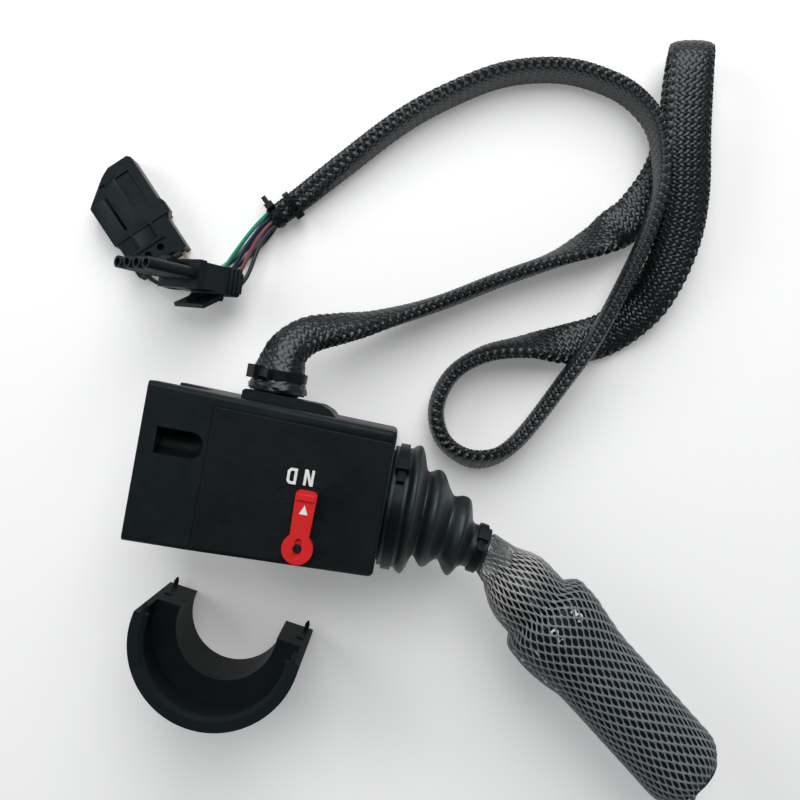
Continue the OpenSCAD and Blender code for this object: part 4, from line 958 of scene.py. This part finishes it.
@dataclass
class Connectors:
    """Tower and shroud connectors with their seals, hinged locks and loose wires.

    Attributes:
        tower_place: Where the tower connector's rear stands.
        tower_turn: Its turns about X, Y and Z, in degrees.
        tower_h: Its height.
        side: Distance from its outer ways to its sides.
        ribs: Places of the raised rings along it.
        rib: Section of a ring, as places along the tower and heights above it.
        rib_corner: Radius under a ring's corners.
        shroud_place: Where the shroud connector's rear lies.
        shroud_turn: Its turn about Z, in degrees.
        shroud_h: Its height.
        pitch: Distance between neighbouring ways.
        wire_d: Diameter of a wire.
        tower_end: Distance behind the tower connector's rear at which its wires end.
        tower_leave: Step from a tower wire's start to its first control point, for the lowest wire.
        tower_bend: Step from a tower wire's end to its second control point.
        shroud_end: Distance behind the shroud connector's rear at which its wires end.
        shroud_leave: Step from a shroud wire's start to its first control point.
        shroud_bend: Place along the shroud connector, and height over its middle, of the second one.
        wire_gap: Distance between wires where they leave the sleeve.
        row_gap: Height of the two rows of wires above and below the sleeve's middle.
        floor_z: Height of the floor.
        sleeve_end: Where the sleeve ends.
        sleeve_before: A place of the sleeve before its end.
        tower_wires: Names and linear colours of the tower's wires.
        shroud_wires: Names and linear colours of the shroud's wires.
    """

    tower_place: Place = (14.6, 84.4, -30.8)
    tower_turn: Place = (90.0, -50.0, 182.0)
    tower_h: float = 13.0
    side: float = 3.4
    ribs: tuple[float, ...] = (0.7, 3.3, 5.9)
    rib: Pairs = ((0, -0.3), (0, 0.35), (0.4, 0.8), (1.2, 0.8), (1.6, 0.35), (1.6, -0.3))
    rib_corner: float = 0.3
    shroud_place: Place = (-17.5, 96.0, -42.0)
    shroud_turn: float = 133.5
    shroud_h: float = 14.0
    pitch: float = 7.6
    wire_d: float = 2.2
    tower_end: float = 2.6
    tower_leave: Place = (-10.0, -13.0, 1.0)
    tower_bend: Place = (6.0, 9.0, -3.0)
    shroud_end: float = 0.1
    shroud_leave: Place = (-11.0, -24.0, -4.8)
    shroud_bend: tuple[float, float] = (-24.0, -6.0)
    wire_gap: float = 2.4
    row_gap: float = 1.3
    floor_z: float = -42.0
    sleeve_end: Place = (33.5, 128.5, -35.3)
    sleeve_before: Place = (48.0, 143.5, -34.6)
    tower_wires: tuple[tuple[str, Colour], ...] = (
        ("green", (0.02, 0.3, 0.17)), ("navy", (0.012, 0.016, 0.06)), ("rose", (0.2, 0.06, 0.072)),
        ("jet", (0.01, 0.01, 0.012)))
    shroud_wires: tuple[tuple[str, Colour], ...] = (
        ("cream", (0.5, 0.44, 0.3)), ("slate", (0.03, 0.032, 0.04)), ("white", (0.55, 0.55, 0.54)),
        ("charcoal", (0.014, 0.014, 0.016)))

    def build(self, bench: Bench) -> list[bpy.types.Object]:
        """Dresses both connectors.

        Args:
            bench: Bench that finishes pieces.

        Returns:
            The pieces on the end of the lead.
        """
        rows = (
            ("tower_body", Palette.CONNECTOR, Body.HOUSING, "connector_black", 0.35),
            ("tower_seal", Palette.SEAL, Body.HOUSING, "seal_grey", 0.25),
            ("tower_lock", Palette.CONNECTOR, Body.TOWER_FLAP, "connector_black", 0.3),
            ("shroud_body", Palette.CONNECTOR, Body.HOUSING, "connector_black", 0.5),
            ("shroud_seal", Palette.SEAL, Body.HOUSING, "seal_grey", 0.25),
            ("shroud_lock", Palette.CONNECTOR, Body.SHROUD_FLAP, "connector_black", 0.3),
            ("loom_ties", Palette.NYLON, Body.HOUSING, "nylon_black", 0.2))
        return [*(bench.skin(*row) for row in rows), self._rings(bench)]

    def _tower(self) -> Matrix:
        """Returns the frame of the tower connector, with X from its rear to its mouth."""
        x, y, z = (Matrix.Rotation(math.radians(a), 4, axis) for a, axis in zip(self.tower_turn, "XYZ"))
        return Matrix.Translation(self.tower_place) @ z @ y @ x

    def _rings(self, bench: Bench) -> bpy.types.Object:
        """Adds the raised rings round the rear of the tower connector.

        Args:
            bench: Bench that finishes pieces.

        Returns:
            The rings.
        """
        middle = self.tower_h / 2
        across, up = 1.5 * self.pitch + self.side - self.rib_corner, middle - self.rib_corner
        path: list[tuple[Vector, Vector]] = []
        for quarter, (right, top) in enumerate(((1, 1), (-1, 1), (-1, -1), (1, -1))):
            for step in range(4):
                angle = (quarter + step / 3) * math.pi / 2
                path.append((Vector((0, right * across, middle + top * up)),
                             Vector((0, math.cos(angle), math.sin(angle)))))
        form = Form()
        for start in self.ribs:
            rings = [[place + out * (self.rib_corner + lift) + Vector((start + x, 0, 0)) for x, lift in self.rib]
                     for place, out in path]
            form.joined(Form().swept([*rings, rings[0]], capped=False))
        form.merged().outward().placed(self._tower())
        return bench.piece("tower_ribs", form, Palette.CONNECTOR, Body.HOUSING)

    def wires(self) -> None:
        """Lays the eight wires from the sleeve's end into the connectors."""
        tower = self._tower()
        shroud = Matrix.Translation(self.shroud_place) @ Matrix.Rotation(math.radians(self.shroud_turn), 4, "Z")
        for i in range(4):
            way = (i - 1.5) * self.pitch
            start, end = self._start(i, 1), tower @ Vector((-self.tower_end, way, self.tower_h / 2))
            x, y, z = self.tower_leave
            leave = start + Vector((x, y, z + i))
            x, y, z = self.tower_bend
            bend = Vector((end.x + x, end.y + y, max(end.z + z, self.floor_z + self.wire_d)))
            self._wire(f"tower_wire_{i + 1}", (start, leave, bend, end), self.tower_wires[i], "tower_wires")
            start, end = self._start(i, -1), shroud @ Vector((-self.shroud_end, way, self.shroud_h / 2))
            leave = start + Vector(self.shroud_leave)
            x, z = self.shroud_bend
            bend = shroud @ Vector((x, way / 2, self.shroud_h / 2 + z))
            self._wire(f"shroud_wire_{i + 1}", (start, leave, bend, end), self.shroud_wires[i], "shroud_wires")

    def _start(self, i: int, row: int) -> Vector:
        """Finds where a wire leaves the sleeve.

        Args:
            i: Which wire of its row.
            row: 1 for the upper row, -1 for the lower one.

        Returns:
            The place.
        """
        up = Vector((0, 0, 1))
        end = Vector(self.sleeve_end)
        run = (end - Vector(self.sleeve_before)).normalized()
        return end + run * 0.1 + up.cross(run) * (self.wire_gap * (i - 1.5)) + up * (row * self.row_gap)

    def _wire(self, name: str, control: Sequence[Vector], colour: tuple[str, Colour], stands_for: str) -> None:
        """Args:
            name: Name of the wire.
            control: Its start, two control points and its end.
            colour: Name and linear colour of its insulation.
            stands_for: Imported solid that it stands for.
        """
        curve = bpy.data.curves.new(name, "CURVE")
        curve.dimensions = "3D"
        curve.resolution_u = 24
        curve.bevel_depth = self.wire_d / 2 * MM
        curve.bevel_resolution = 3
        curve.use_fill_caps = True
        spline = curve.splines.new("BEZIER")
        spline.bezier_points.add(1)
        start, c1, c2, end = (p * MM for p in control)
        for point, place, before, after in ((spline.bezier_points[0], start, 2 * start - c1, c1),
                                            (spline.bezier_points[1], end, c2, 2 * end - c2)):
            point.handle_left_type = point.handle_right_type = "FREE"
            point.co, point.handle_left, point.handle_right = place, before, after
        curve.materials.append(Palette.wire(*colour).material())
        wire = bpy.data.objects.new(name, curve)
        bpy.context.scene.collection.objects.link(wire)
        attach(wire, Body.HOUSING.value)
        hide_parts(stands_for)
        LOG.info("%s is laid", name)


@dataclass(frozen=True)
class Glyph:
    """A plain sign of strokes and flat shapes, drawn in a box of one by one.

    Attributes:
        strokes: Lines drawn with the pen; one that ends where it starts is closed.
        shapes: Outlines that are filled.
    """

    strokes: tuple[Pairs, ...] = ()
    shapes: tuple[Pairs, ...] = ()

    def form(self, wide: float, high: float, pen: float, thick: float) -> Form:
        """Draws the sign flat round the origin, facing up.

        Args:
            wide: Its width.
            high: Its height.
            pen: Width of the strokes.
            thick: Thickness of the paint.

        Returns:
            The sign.
        """
        form = Form()
        for shape in self.shapes:
            form.joined(Form().plate([((x - 0.5) * wide, (y - 0.5) * high) for x, y in shape], thick))
        for stroke in self.strokes:
            points = [Vector(((x - 0.5) * (wide - pen), (y - 0.5) * (high - pen), 0.0)) for x, y in stroke]
            form.joined(self._line(points, pen, thick))
        return form

    @staticmethod
    def _line(points: list[Vector], pen: float, thick: float) -> Form:
        """Draws one mitred line.

        Args:
            points: Its corners.
            pen: Its width.
            thick: Thickness of the paint.

        Returns:
            The line.
        """
        closed = points[0] == points[-1]
        rings = []
        for i, point in enumerate(points):
            before = point - points[i - 1] if i else point - points[-2] if closed else None
            after = points[i + 1] - point if i < len(points) - 1 else points[1] - point if closed else None
            before, after = (before or after).normalized(), (after or before).normalized()
            run = (before + after).normalized()
            side = Vector((-run.y, run.x, 0.0)) * (pen / 2 / max(0.5, run.dot(after)))
            up = Vector((0, 0, thick))
            rings.append([point - side, point + side, point + side + up, point - side + up])
        return Form().swept(rings, capped=not closed).merged().outward()


class Sign(Enum):
    """Plain position letters, gear numerals and marks."""

    N = Glyph(shapes=(((0, 0), (0.27, 0), (0.27, 0.64), (0.66, 0), (1, 0), (1, 1), (0.73, 1), (0.73, 0.36),
                       (0.34, 1), (0, 1)),))
    D = Glyph((((0, 0), (0, 1), (0.72, 1), (1, 0.84), (1, 0.16), (0.72, 0), (0, 0)),))
    ONE = Glyph((((0.2, 0.75), (0.55, 1), (0.55, 0)),))
    TWO = Glyph((((0.02, 0.78), (0.25, 1), (0.75, 1), (0.98, 0.75), (0.05, 0), (1, 0)),))
    THREE = Glyph((((0.05, 1), (0.92, 1), (0.42, 0.58), (0.82, 0.5), (0.98, 0.25), (0.75, 0), (0.25, 0),
                    (0, 0.18)),))
    ARROW = Glyph(shapes=(((0, 0), (1, 0), (0.5, 1)),))
    LINE = Glyph(shapes=(((0, 0), (1, 0), (1, 1), (0, 1)),))


@dataclass
class Housing:
    """Moulded housing with its covers, the loose column cover, the cable plate and the boot."""

    cover_top: float = 42.6
    paint_depth: float = 0.02
    letters: tuple[tuple[Sign, float, float], ...] = ((Sign.N, 82.0, 6.0), (Sign.D, 74.4, 5.6))
    letter_w: float = 4.4
    letter_h: float = 7.2
    letter_t: float = 0.07
    pen: float = 1.25
    line_x: float = 74.4
    line_y: float = -6.0
    line_l: float = 4.6
    line_w: float = 0.5
    line_t: float = 0.05
    line_turn: float = 9.0

    def build(self, bench: Bench) -> None:
        """Dresses the mouldings and paints the position letters.

        Args:
            bench: Bench that finishes pieces.
        """
        house = Body.HOUSING
        for row in (
                ("housing", Palette.HOUSING, house, "housing_black", 0.45, 3),
                ("front_cover", Palette.COVER, house, "cover_black", 0.3, 3),
                ("back_cover", Palette.COVER, house, "cover_black", 0.3),
                # The column cover takes a paler copy of the housing's plastic, painted light for its shaded
                # inside.
                ("column_cover", Palette.SHELL_PAINTED_FILL, house, "housing_black", 0.45, 3),
                ("cable_plate", Palette.HOUSING, house, "housing_black", 0.4),
                ("cable_boot", Palette.BOOT, house, "rubber_black", 0.4),
                ("boot_tie", Palette.NYLON, house, "nylon_black", 0.25),
                ("bellows_tie", Palette.NYLON, house, "nylon_black", 0.25)):
            bench.skin(*row)
        for sign, x, y in self.letters:
            form = sign.value.form(self.letter_w, self.letter_h, self.pen, self.letter_t)
            form.placed(self._on_cover(x, y, math.pi))
            bench.piece(f"letter_{sign.name.lower()}", form, Palette.MARK, house)
        # A thin strip a shade paler than the cover, laid flat on it near the lock lever's tip.
        pale_strip = Sign.LINE.value.form(self.line_l, self.line_w, self.line_w, self.line_t)
        pale_strip.placed(self._on_cover(self.line_x, self.line_y, math.radians(self.line_turn)))
        bench.piece("index_line", pale_strip, Palette.SEAL, house)

    def _on_cover(self, x: float, y: float, turn: float) -> Matrix:
        """Returns the frame of a mark on the front cover, turned by an angle in radians."""
        return Matrix.Translation((x, y, self.cover_top - self.paint_depth)) @ Matrix.Rotation(turn, 4, "Z")


@dataclass
class Bellows:
    """Rubber bellows that leans over from the housing to the lever.

    Attributes:
        end_x: Where the bellows starts at the housing.
        line: Where the lever runs.
        wall: Thickness of the rubber.
        bore: Least radius inside.
        lean_from: Distance at which the bellows starts to lean.
        lean_l: Length in which it leans over.
        lean_power: How late it leans.
        blend_from: Distance from which it was to follow the lever; not used.
        blend_to: Distance at which it was to move with the lever; not used.
        outside: Distances from the housing and radii.
    """

    end_x: float = 117.5
    line: LeverLine = field(default_factory=LeverLine)
    wall: float = 2.0
    bore: float = 7.4
    lean_from: float = 10.5
    lean_l: float = 31.5
    lean_power: float = 1.25
    blend_from: float = 10.0
    blend_to: float = 43.0
    outside: Pairs = (
        (0.6, 28.4), (1.0, 29.2), (5.0, 29.2), (8.8, 29.3), (10.0, 30.2), (11.0, 31.0), (12.2, 31.4),
        (13.4, 30.9), (14.8, 28.3), (16.2, 24.0), (17.2, 21.4), (18.2, 20.8), (19.4, 21.6), (20.8, 22.9),
        (22.6, 23.8), (24.2, 23.6), (25.8, 22.2), (28.0, 19.0), (30.0, 16.7), (31.2, 16.1), (32.6, 16.8),
        (34.6, 18.5), (36.4, 19.4), (37.6, 19.5), (38.8, 18.7), (40.2, 15.6), (41.4, 12.6), (42.6, 11.2),
        (44.0, 10.8), (48.0, 10.8), (51.6, 10.8), (52.0, 10.4))

    def _lean(self, s: float) -> float:
        """Returns the share by which the bellows has leaned over at a distance from the housing."""
        return min(1.0, (max(0.0, s - self.lean_from) / self.lean_l) ** self.lean_power)

    def _place(self, point: Vector) -> Vector:
        """Bends a point of the straight bellows to its place.

        Args:
            point: Point with X as the distance from the housing.

        Returns:
            Its place on the leaning bellows.
        """
        share = self._lean(point.x)
        tilt = math.radians(self.line.rod_tilt)
        drop = -(self.end_x - self.line.pivot.x + point.x) * math.tan(tilt) * share
        across = Matrix.Rotation(-tilt * share, 4, "Z") @ Vector((0.0, point.y, point.z))
        return Vector((self.end_x + point.x, self.line.pivot.y + drop, 0.0)) + across

    def build(self, bench: Bench) -> None:
        """Turns the bellows and bends it over.

        Args:
            bench: Bench that finishes pieces.
        """
        outer = [(s, r) for s, r in curve_through(self.outside, 4)]
        inner = [(s, max(self.bore, r - self.wall)) for s, r in curve_through(self.outside[1:-1], 2)]
        form = Form().turned(outer + inner[::-1], steps=96).mapped(self._place).outward()
        rubber = bench.piece("bellows_rubber", form, Palette.RUBBER, None, ("bellows",), 60)
        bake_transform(rubber)


@dataclass
class TwistGrip:
    """Twist grip with its numerals, and the stretched net that protects it.

    Attributes:
        line: Where the lever runs.
        rows: Strands of the first family of the net.
        columns: Strands of the second family.
        row_edge: Side of a mesh along the first family.
        column_edge: Side of a mesh along the second family.
        row_w: Width of a strand of the first family.
        column_w: Width of a strand of the second family.
        knot: Added width where strands are fused.
        strand_t: Thickness of a strand.
        slack_r: Radius below which the strands are drawn thinner.
        family_gap: Height of the first family above the middle, and of the second below it.
        sag_power: How closely the sag keeps to its side.
        net_step: Distance between points of a strand.
        white_x: Place where the net is palest, partly from its bunched strands and partly from painted warm
            light.
        white_l: Length in which that fades.
        blend_from: Place from which the net was to follow the grip; not used.
        blend_to: Place at which it was to move with the grip; not used.
        net: Place along the lever, radius, sag to one side and shift to that side.
        numerals: Signs with their places along and round the grip.
        numeral_w: Width of a numeral.
        numeral_h: Height of a numeral.
        numeral_t: Thickness of its paint.
        pen: Width of its strokes.
        flare_r: Radius of the grip's flare.
        paint_depth: How deep the paint starts under the surface.
    """

    line: LeverLine = field(default_factory=LeverLine)
    rows: int = 24
    columns: int = 38
    row_edge: float = 3.3
    column_edge: float = 4.6
    row_w: float = 1.1
    column_w: float = 0.85
    knot: float = 1.25
    strand_t: float = 0.75
    slack_r: float = 20.5
    family_gap: float = 0.12
    sag_power: float = 1.5
    net_step: float = 0.85
    white_x: float = 14.0
    white_l: float = 18.0
    blend_from: float = 24.0
    blend_to: float = 44.0
    net: tuple[tuple[float, float, float, float], ...] = (
        (-1.8, 9.0, 1.4, 0), (1.0, 9.0, 1.6, 0), (4.0, 9.7, 1.4, 0), (7.0, 10.9, 0.7, 0), (9.4, 12.0, 0, 0),
        (12.4, 13.9, 0, 0), (15.4, 15.3, 0, 0), (18.4, 16.4, 0.4, 0), (22.4, 17.1, 1.0, 0),
        (28.0, 17.2, 1.7, 0), (34.0, 17.4, 1.6, 0), (36.0, 19.0, 0.6, 0), (38.0, 21.8, 0.2, 0),
        (40.0, 23.3, 0.3, 0), (43.0, 23.6, 0.6, 0), (51.5, 23.6, 1.0, 0), (58.0, 22.6, 1.6, 0),
        (66.5, 21.4, 1.4, 0), (74.5, 20.55, 0.5, 0), (90.0, 20.5, 0.2, 0), (120.0, 20.5, 0, 0),
        (134.0, 20.5, 0, 0), (138.0, 20.4, 0, 0), (142.0, 19.3, 0.6, -0.1), (146.2, 16.4, 1.6, -0.4),
        (148.8, 13.4, 1.4, -2.6), (151.2, 9.6, 0.8, -6.6), (154.0, 6.8, 0.3, -10.4), (158.0, 5.2, 0, -13.0),
        (162.0, 5.4, 0, -14.2))
    numerals: tuple[tuple[Sign, float, float], ...] = (
        (Sign.THREE, 46.0, 30.0), (Sign.TWO, 46.0, -5.0), (Sign.ONE, 46.0, -40.0))
    numeral_w: float = 4.6
    numeral_h: float = 7.0
    numeral_t: float = 0.08
    pen: float = 1.0
    flare_r: float = 23.0
    paint_depth: float = 0.02

    def build(self, bench: Bench) -> None:
        """Dresses the grip, paints the numerals and stretches the net over it.

        Args:
            bench: Bench that finishes pieces.
        """
        bench.skin("grip_hub", Palette.GRIP, Body.LEVER, "grip_black", 0.5)
        bench.skin("grip_sleeve", Palette.GRIP, Body.GRIP, "grip_black", 0.5)
        bench.skin("grip_cap", Palette.GRIP, Body.GRIP, "grip_black", 0.4)
        bench.skin("neck_tie", Palette.NYLON, Body.LEVER, "nylon_black", 0.25)
        for sign, x, angle in self.numerals:
            form = sign.value.form(self.numeral_w, self.numeral_h, self.pen, self.numeral_t)
            form.placed(Matrix.Rotation(math.pi / 2, 4, "Z"))
            form.mapped(lambda p, x=x, angle=angle: self._wrap(p, x, angle)).outward()
            bench.piece(f"numeral_{sign.name.lower()}", form, Palette.MARK, Body.GRIP)
        self._stretch(bench)

    def _wrap(self, point: Vector, x: float, angle: float) -> Vector:
        """Lays a point of a flat sign on the grip's flare.

        Args:
            point: Point of the flat sign.
            x: Place of the sign along the grip.
            angle: Its place round the grip, in degrees.

        Returns:
            The point on the grip.
        """
        radius = self.flare_r - self.paint_depth + point.z
        turn = math.radians(angle) + point.y / self.flare_r
        return self.line.grip() @ Vector((x + point.x, radius * math.sin(turn), radius * math.cos(turn)))

    def _stretch(self, bench: Bench) -> None:
        """Winds the strands of the net round the lever and the grip.

        Args:
            bench: Bench that finishes pieces.
        """
        path = self._leads()
        form = Form()
        for way, count in ((1, self.rows), (-1, self.columns)):
            for k in range(count):
                form.joined(self._strand(path, way, k / count))
        # Share of the paler colour by distance from the hub's front: partly the bunched net's whiteness, partly
        # painted warm light.
        bunched_and_lit_shares = [max(0.0, 1.0 - abs(row[0] - self.white_x) / self.white_l) for row in path for _ in range(4)]
        net = bench.piece("grip_netting", form, Palette.NET, None, ("grip_net",), 80)
        bunched_and_lit_share = net.data.attributes.new("bunched_and_lit_share", "FLOAT", "POINT")
        bunched_and_lit_share.data.foreach_set("value", bunched_and_lit_shares * (self.rows + self.columns))
        grip = self.line.grip()
        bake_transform(net)

    def _leads(self) -> list[list[float]]:
        """Works out how both families of strands turn where the net is wide and where it is drawn in.

        Returns:
            Rows of place along the lever, radius, sag to one side, shift to that side and both families' turns.
        """
        rows = [(s, r, 0.0, sag, shift) for s, r, sag, shift in curve_through(self.net, 8)]
        path = even_rows(rows, self.net_step)
        row_l, column_l = self.columns * self.row_edge, self.rows * self.column_edge
        first, second = 0.0, 0.0
        found = []
        for (s, r, _, sag, shift), after in zip(path, path[1:] + path[-1:]):
            found.append([s, r, sag, shift, first, second])
            low, high = 0.0, column_l
            for _ in range(24):
                rise = (low + high) / 2
                around = math.sqrt(row_l ** 2 - rise ** 2) + math.sqrt(column_l ** 2 - rise ** 2)
                low, high = (rise, high) if around > math.tau * r else (low, rise)
            walk = math.dist((s, r), after[:2]) / r / low
            first += walk * math.sqrt(row_l ** 2 - low ** 2)
            second += walk * math.sqrt(column_l ** 2 - low ** 2)
        return found

    def _strand(self, path: Sequence[Sequence[float]], way: int, share: float) -> Form:
        """Winds one strand of the net, wider where it is fused to the strands that cross it.

        Args:
            path: Places along the net.
            way: 1 or -1 for the two families.
            share: Where the strand starts, as a share of the way round.

        Returns:
            The strand.
        """
        wide, across = (self.row_w, self.columns) if way > 0 else (self.column_w, self.rows)
        rings = []
        for s, radius, sag, shift, first, second in path:
            frame = self.line.along(s)
            angle = way * (first if way > 0 else second) + math.tau * share
            meeting = ((first + second) / math.tau + way * share) * across
            drawn = min(1.0, radius / self.slack_r)
            half = (wide + self.knot * max(0.0, math.cos(math.tau * meeting))) * drawn / 2 / radius
            base = radius + self.family_gap * way + sag * max(0.0, -math.sin(angle)) ** self.sag_power
            ring = []
            for da, dr in ((-half, 0.0), (0.0, self.strand_t / 2), (half, 0.0), (0.0, -self.strand_t / 2)):
                r = base + dr
                ring.append(frame @ Vector((0.0, r * math.sin(angle + da) + shift, r * math.cos(angle + da))))
            rings.append(ring)
        return Form().swept(rings).outward()


@dataclass
class NeutralLock:
    """Red lock lever with its white arrow."""

    place: Place = (82.6, -25.5, 46.9)
    arrow_y: float = 17.6
    arrow_w: float = 3.8
    arrow_l: float = 4.2
    arrow_t: float = 0.06
    paint_depth: float = 0.02

    def build(self, bench: Bench) -> None:
        """Dresses the lever and paints its arrow.

        Args:
            bench: Bench that finishes pieces.
        """
        bench.skin("lock_lever", Palette.RED, Body.LOCK, "lock_red", 0.5, 3)
        form = Sign.ARROW.value.form(self.arrow_w, self.arrow_l, 0.0, self.arrow_t)
        form.placed(Matrix.Translation(Vector(self.place) + Vector((0, self.arrow_y, -self.paint_depth))))
        bench.piece("lock_arrow", form, Palette.MARK, Body.LOCK)


@dataclass
class Studio:
    """Camera, floor and soft light.

    Attributes:
        camera_place: Where the camera hangs.
        camera_turn: Its turn about Z, in degrees.
        lens: Its focal length.
        sensor: Width of its sensor.
        floor_z: Height of the floor.
        floor_drop: Room between the part and the floor, in metres.
        floor_half: Half the floor's side, in metres.
        floor_middle: Middle of the floor, in metres.
        floor_colour: Linear colour of the floor.
        floor_glow: Glow of the floor that only the picture and the reflections show.
        walls: Linear colour of the world's walls.
        ceiling: Linear colour of the world's ceiling.
        rise: Heights at which the walls end and the ceiling starts.
        lamps: Names, places, widths, heights in metres and powers of the soft boxes.
        aim: Place that the soft boxes face, in metres.
    """

    camera_place: Place = (115.8, 47.3, 486.0)
    camera_turn: float = 10.1
    lens: float = 44.82
    sensor: float = 36.0
    floor_z: float = -42.0
    floor_drop: float = 0.0003
    floor_half: float = 4.0
    floor_middle: tuple[float, float] = (0.1, 0.05)
    floor_colour: Colour = (0.94, 0.94, 0.94)
    floor_glow: float = 0.17
    walls: Colour = (0.34, 0.35, 0.36)
    ceiling: Colour = (0.04, 0.043, 0.046)
    rise: tuple[float, float] = (0.45, 0.9)
    lamps: tuple[tuple[str, Place, float, float, float], ...] = (
        ("soft_far", (0.12, 0.79, 0.9), 0.8, 1.25, 12.5), ("soft_left", (-0.85, 0.25, 0.7), 0.6, 0.6, 3.4))
    aim: Place = (0.11, 0.03, 0.0)

    def build(self) -> None:
        """Makes the camera, the floor, the world and the lamps."""
        self._camera()
        self._floor()
        self._world()
        self._lamps()

    def _camera(self) -> None:
        """Places the camera straight above, turned as in the photograph."""
        data = bpy.data.cameras.new("camera")
        data.lens = self.lens
        data.sensor_width = self.sensor
        data.clip_start = 0.01
        camera = bpy.data.objects.new("camera", data)
        camera.location = Vector(self.camera_place) * MM
        camera.rotation_euler = (0.0, 0.0, math.radians(self.camera_turn))
        bpy.context.scene.collection.objects.link(camera)
        bpy.context.scene.camera = camera

    def _floor(self) -> None:
        """Lays the pale floor under the part."""
        bm = bmesh.new()
        bmesh.ops.create_grid(bm, x_segments=1, y_segments=1, size=self.floor_half)
        bmesh.ops.translate(bm, vec=(*self.floor_middle, self.floor_z * MM - self.floor_drop), verts=bm.verts)
        mesh = bpy.data.meshes.new("floor")
        bm.to_mesh(mesh)
        bm.free()
        material = bpy.data.materials.new("floor_white")
        material.use_nodes = True
        graph = Graph(material.node_tree, "Principled BSDF")
        rays = graph.node("LightPath", {})
        seen = rays.outputs["Is Camera Ray"]
        for other in ("Is Glossy Ray", "Is Transmission Ray"):
            seen = graph.node("Math", {0: seen, 1: rays.outputs[other]}, operation="MAXIMUM").outputs[0]
        graph.shade({
            "Base Color": (*self.floor_colour, 1.0), "Roughness": 0.9, "Specular IOR Level": 0.0,
            "Emission Color": (1.0, 1.0, 1.0, 1.0),
            "Emission Strength": graph.level(seen, 0.0, 1.0, 0.0, self.floor_glow)})
        mesh.materials.append(material)
        floor = bpy.data.objects.new("floor", mesh)
        bpy.context.scene.collection.objects.link(floor)

    def _world(self) -> None:
        """Surrounds the part with pale walls under a dark ceiling."""
        world = bpy.data.worlds.new("studio")
        bpy.context.scene.world = world
        world.use_nodes = True
        graph = Graph(world.node_tree, "Background")
        place = graph.node("TexCoord", {}).outputs["Generated"]
        height = graph.node("SeparateXYZ", {"Vector": place}).outputs["Z"]
        graph.shade({"Color": graph.ramp(height, self.walls, self.ceiling, *self.rise), "Strength": 1.0})

    def _lamps(self) -> None:
        """Hangs two soft boxes beside the camera's view."""
        for name, place, wide, high, power in self.lamps:
            data = bpy.data.lights.new(name, "AREA")
            data.shape = "RECTANGLE"
            data.energy = power
            data.size, data.size_y = wide, high
            lamp = bpy.data.objects.new(name, data)
            lamp.location = place
            lamp.rotation_euler = (Vector(self.aim) - Vector(place)).to_track_quat("-Z", "Y").to_euler()
            bpy.context.scene.collection.objects.link(lamp)


def paint_inside(bench: Bench, record: dict[str, Any]) -> None:
    """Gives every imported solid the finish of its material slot.

    Args:
        bench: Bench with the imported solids.
        record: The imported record.
    """
    finishes = {
        "housing_black": Palette.HOUSING, "cover_black": Palette.COVER, "rubber_black": Palette.BOOT,
        "grip_black": Palette.GRIP, "steel": Palette.STEEL, "bronze": Palette.BRONZE, "lock_red": Palette.RED,
        "nylon_black": Palette.NYLON, "board_green": Palette.BOARD, "electronics": Palette.CHIP,
        "sleeve_braid": Palette.CORE, "connector_black": Palette.CONNECTOR, "seal_grey": Palette.SEAL,
        "wire_mixed": Palette.CHIP, "net_clear": Palette.NET}
    for part in record["subparts"]:
        bench.paint(part["node"], finishes[part["material_slot"]])
    bench.paint("lock_shaft", Palette.OXIDE)


def main() -> None:
    """Builds every piece."""
    logging.basicConfig(level=logging.INFO, format="%(asctime)s %(message)s")
    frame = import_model()
    bpy.context.scene.view_settings.view_transform = "Standard"
    Studio().build()
    bench = Bench(frame["nodes"])
    lead = BraidedSleeve()
    sleeve = lead.build(bench)
    connectors = Connectors()
    lead.declare(connectors.build(bench))
    connectors.wires()
    Housing().build(bench)
    Bellows().build(bench)
    TwistGrip().build(bench)
    NeutralLock().build(bench)
    paint_inside(bench, frame["record"])


if __name__ == "__main__":
    main()
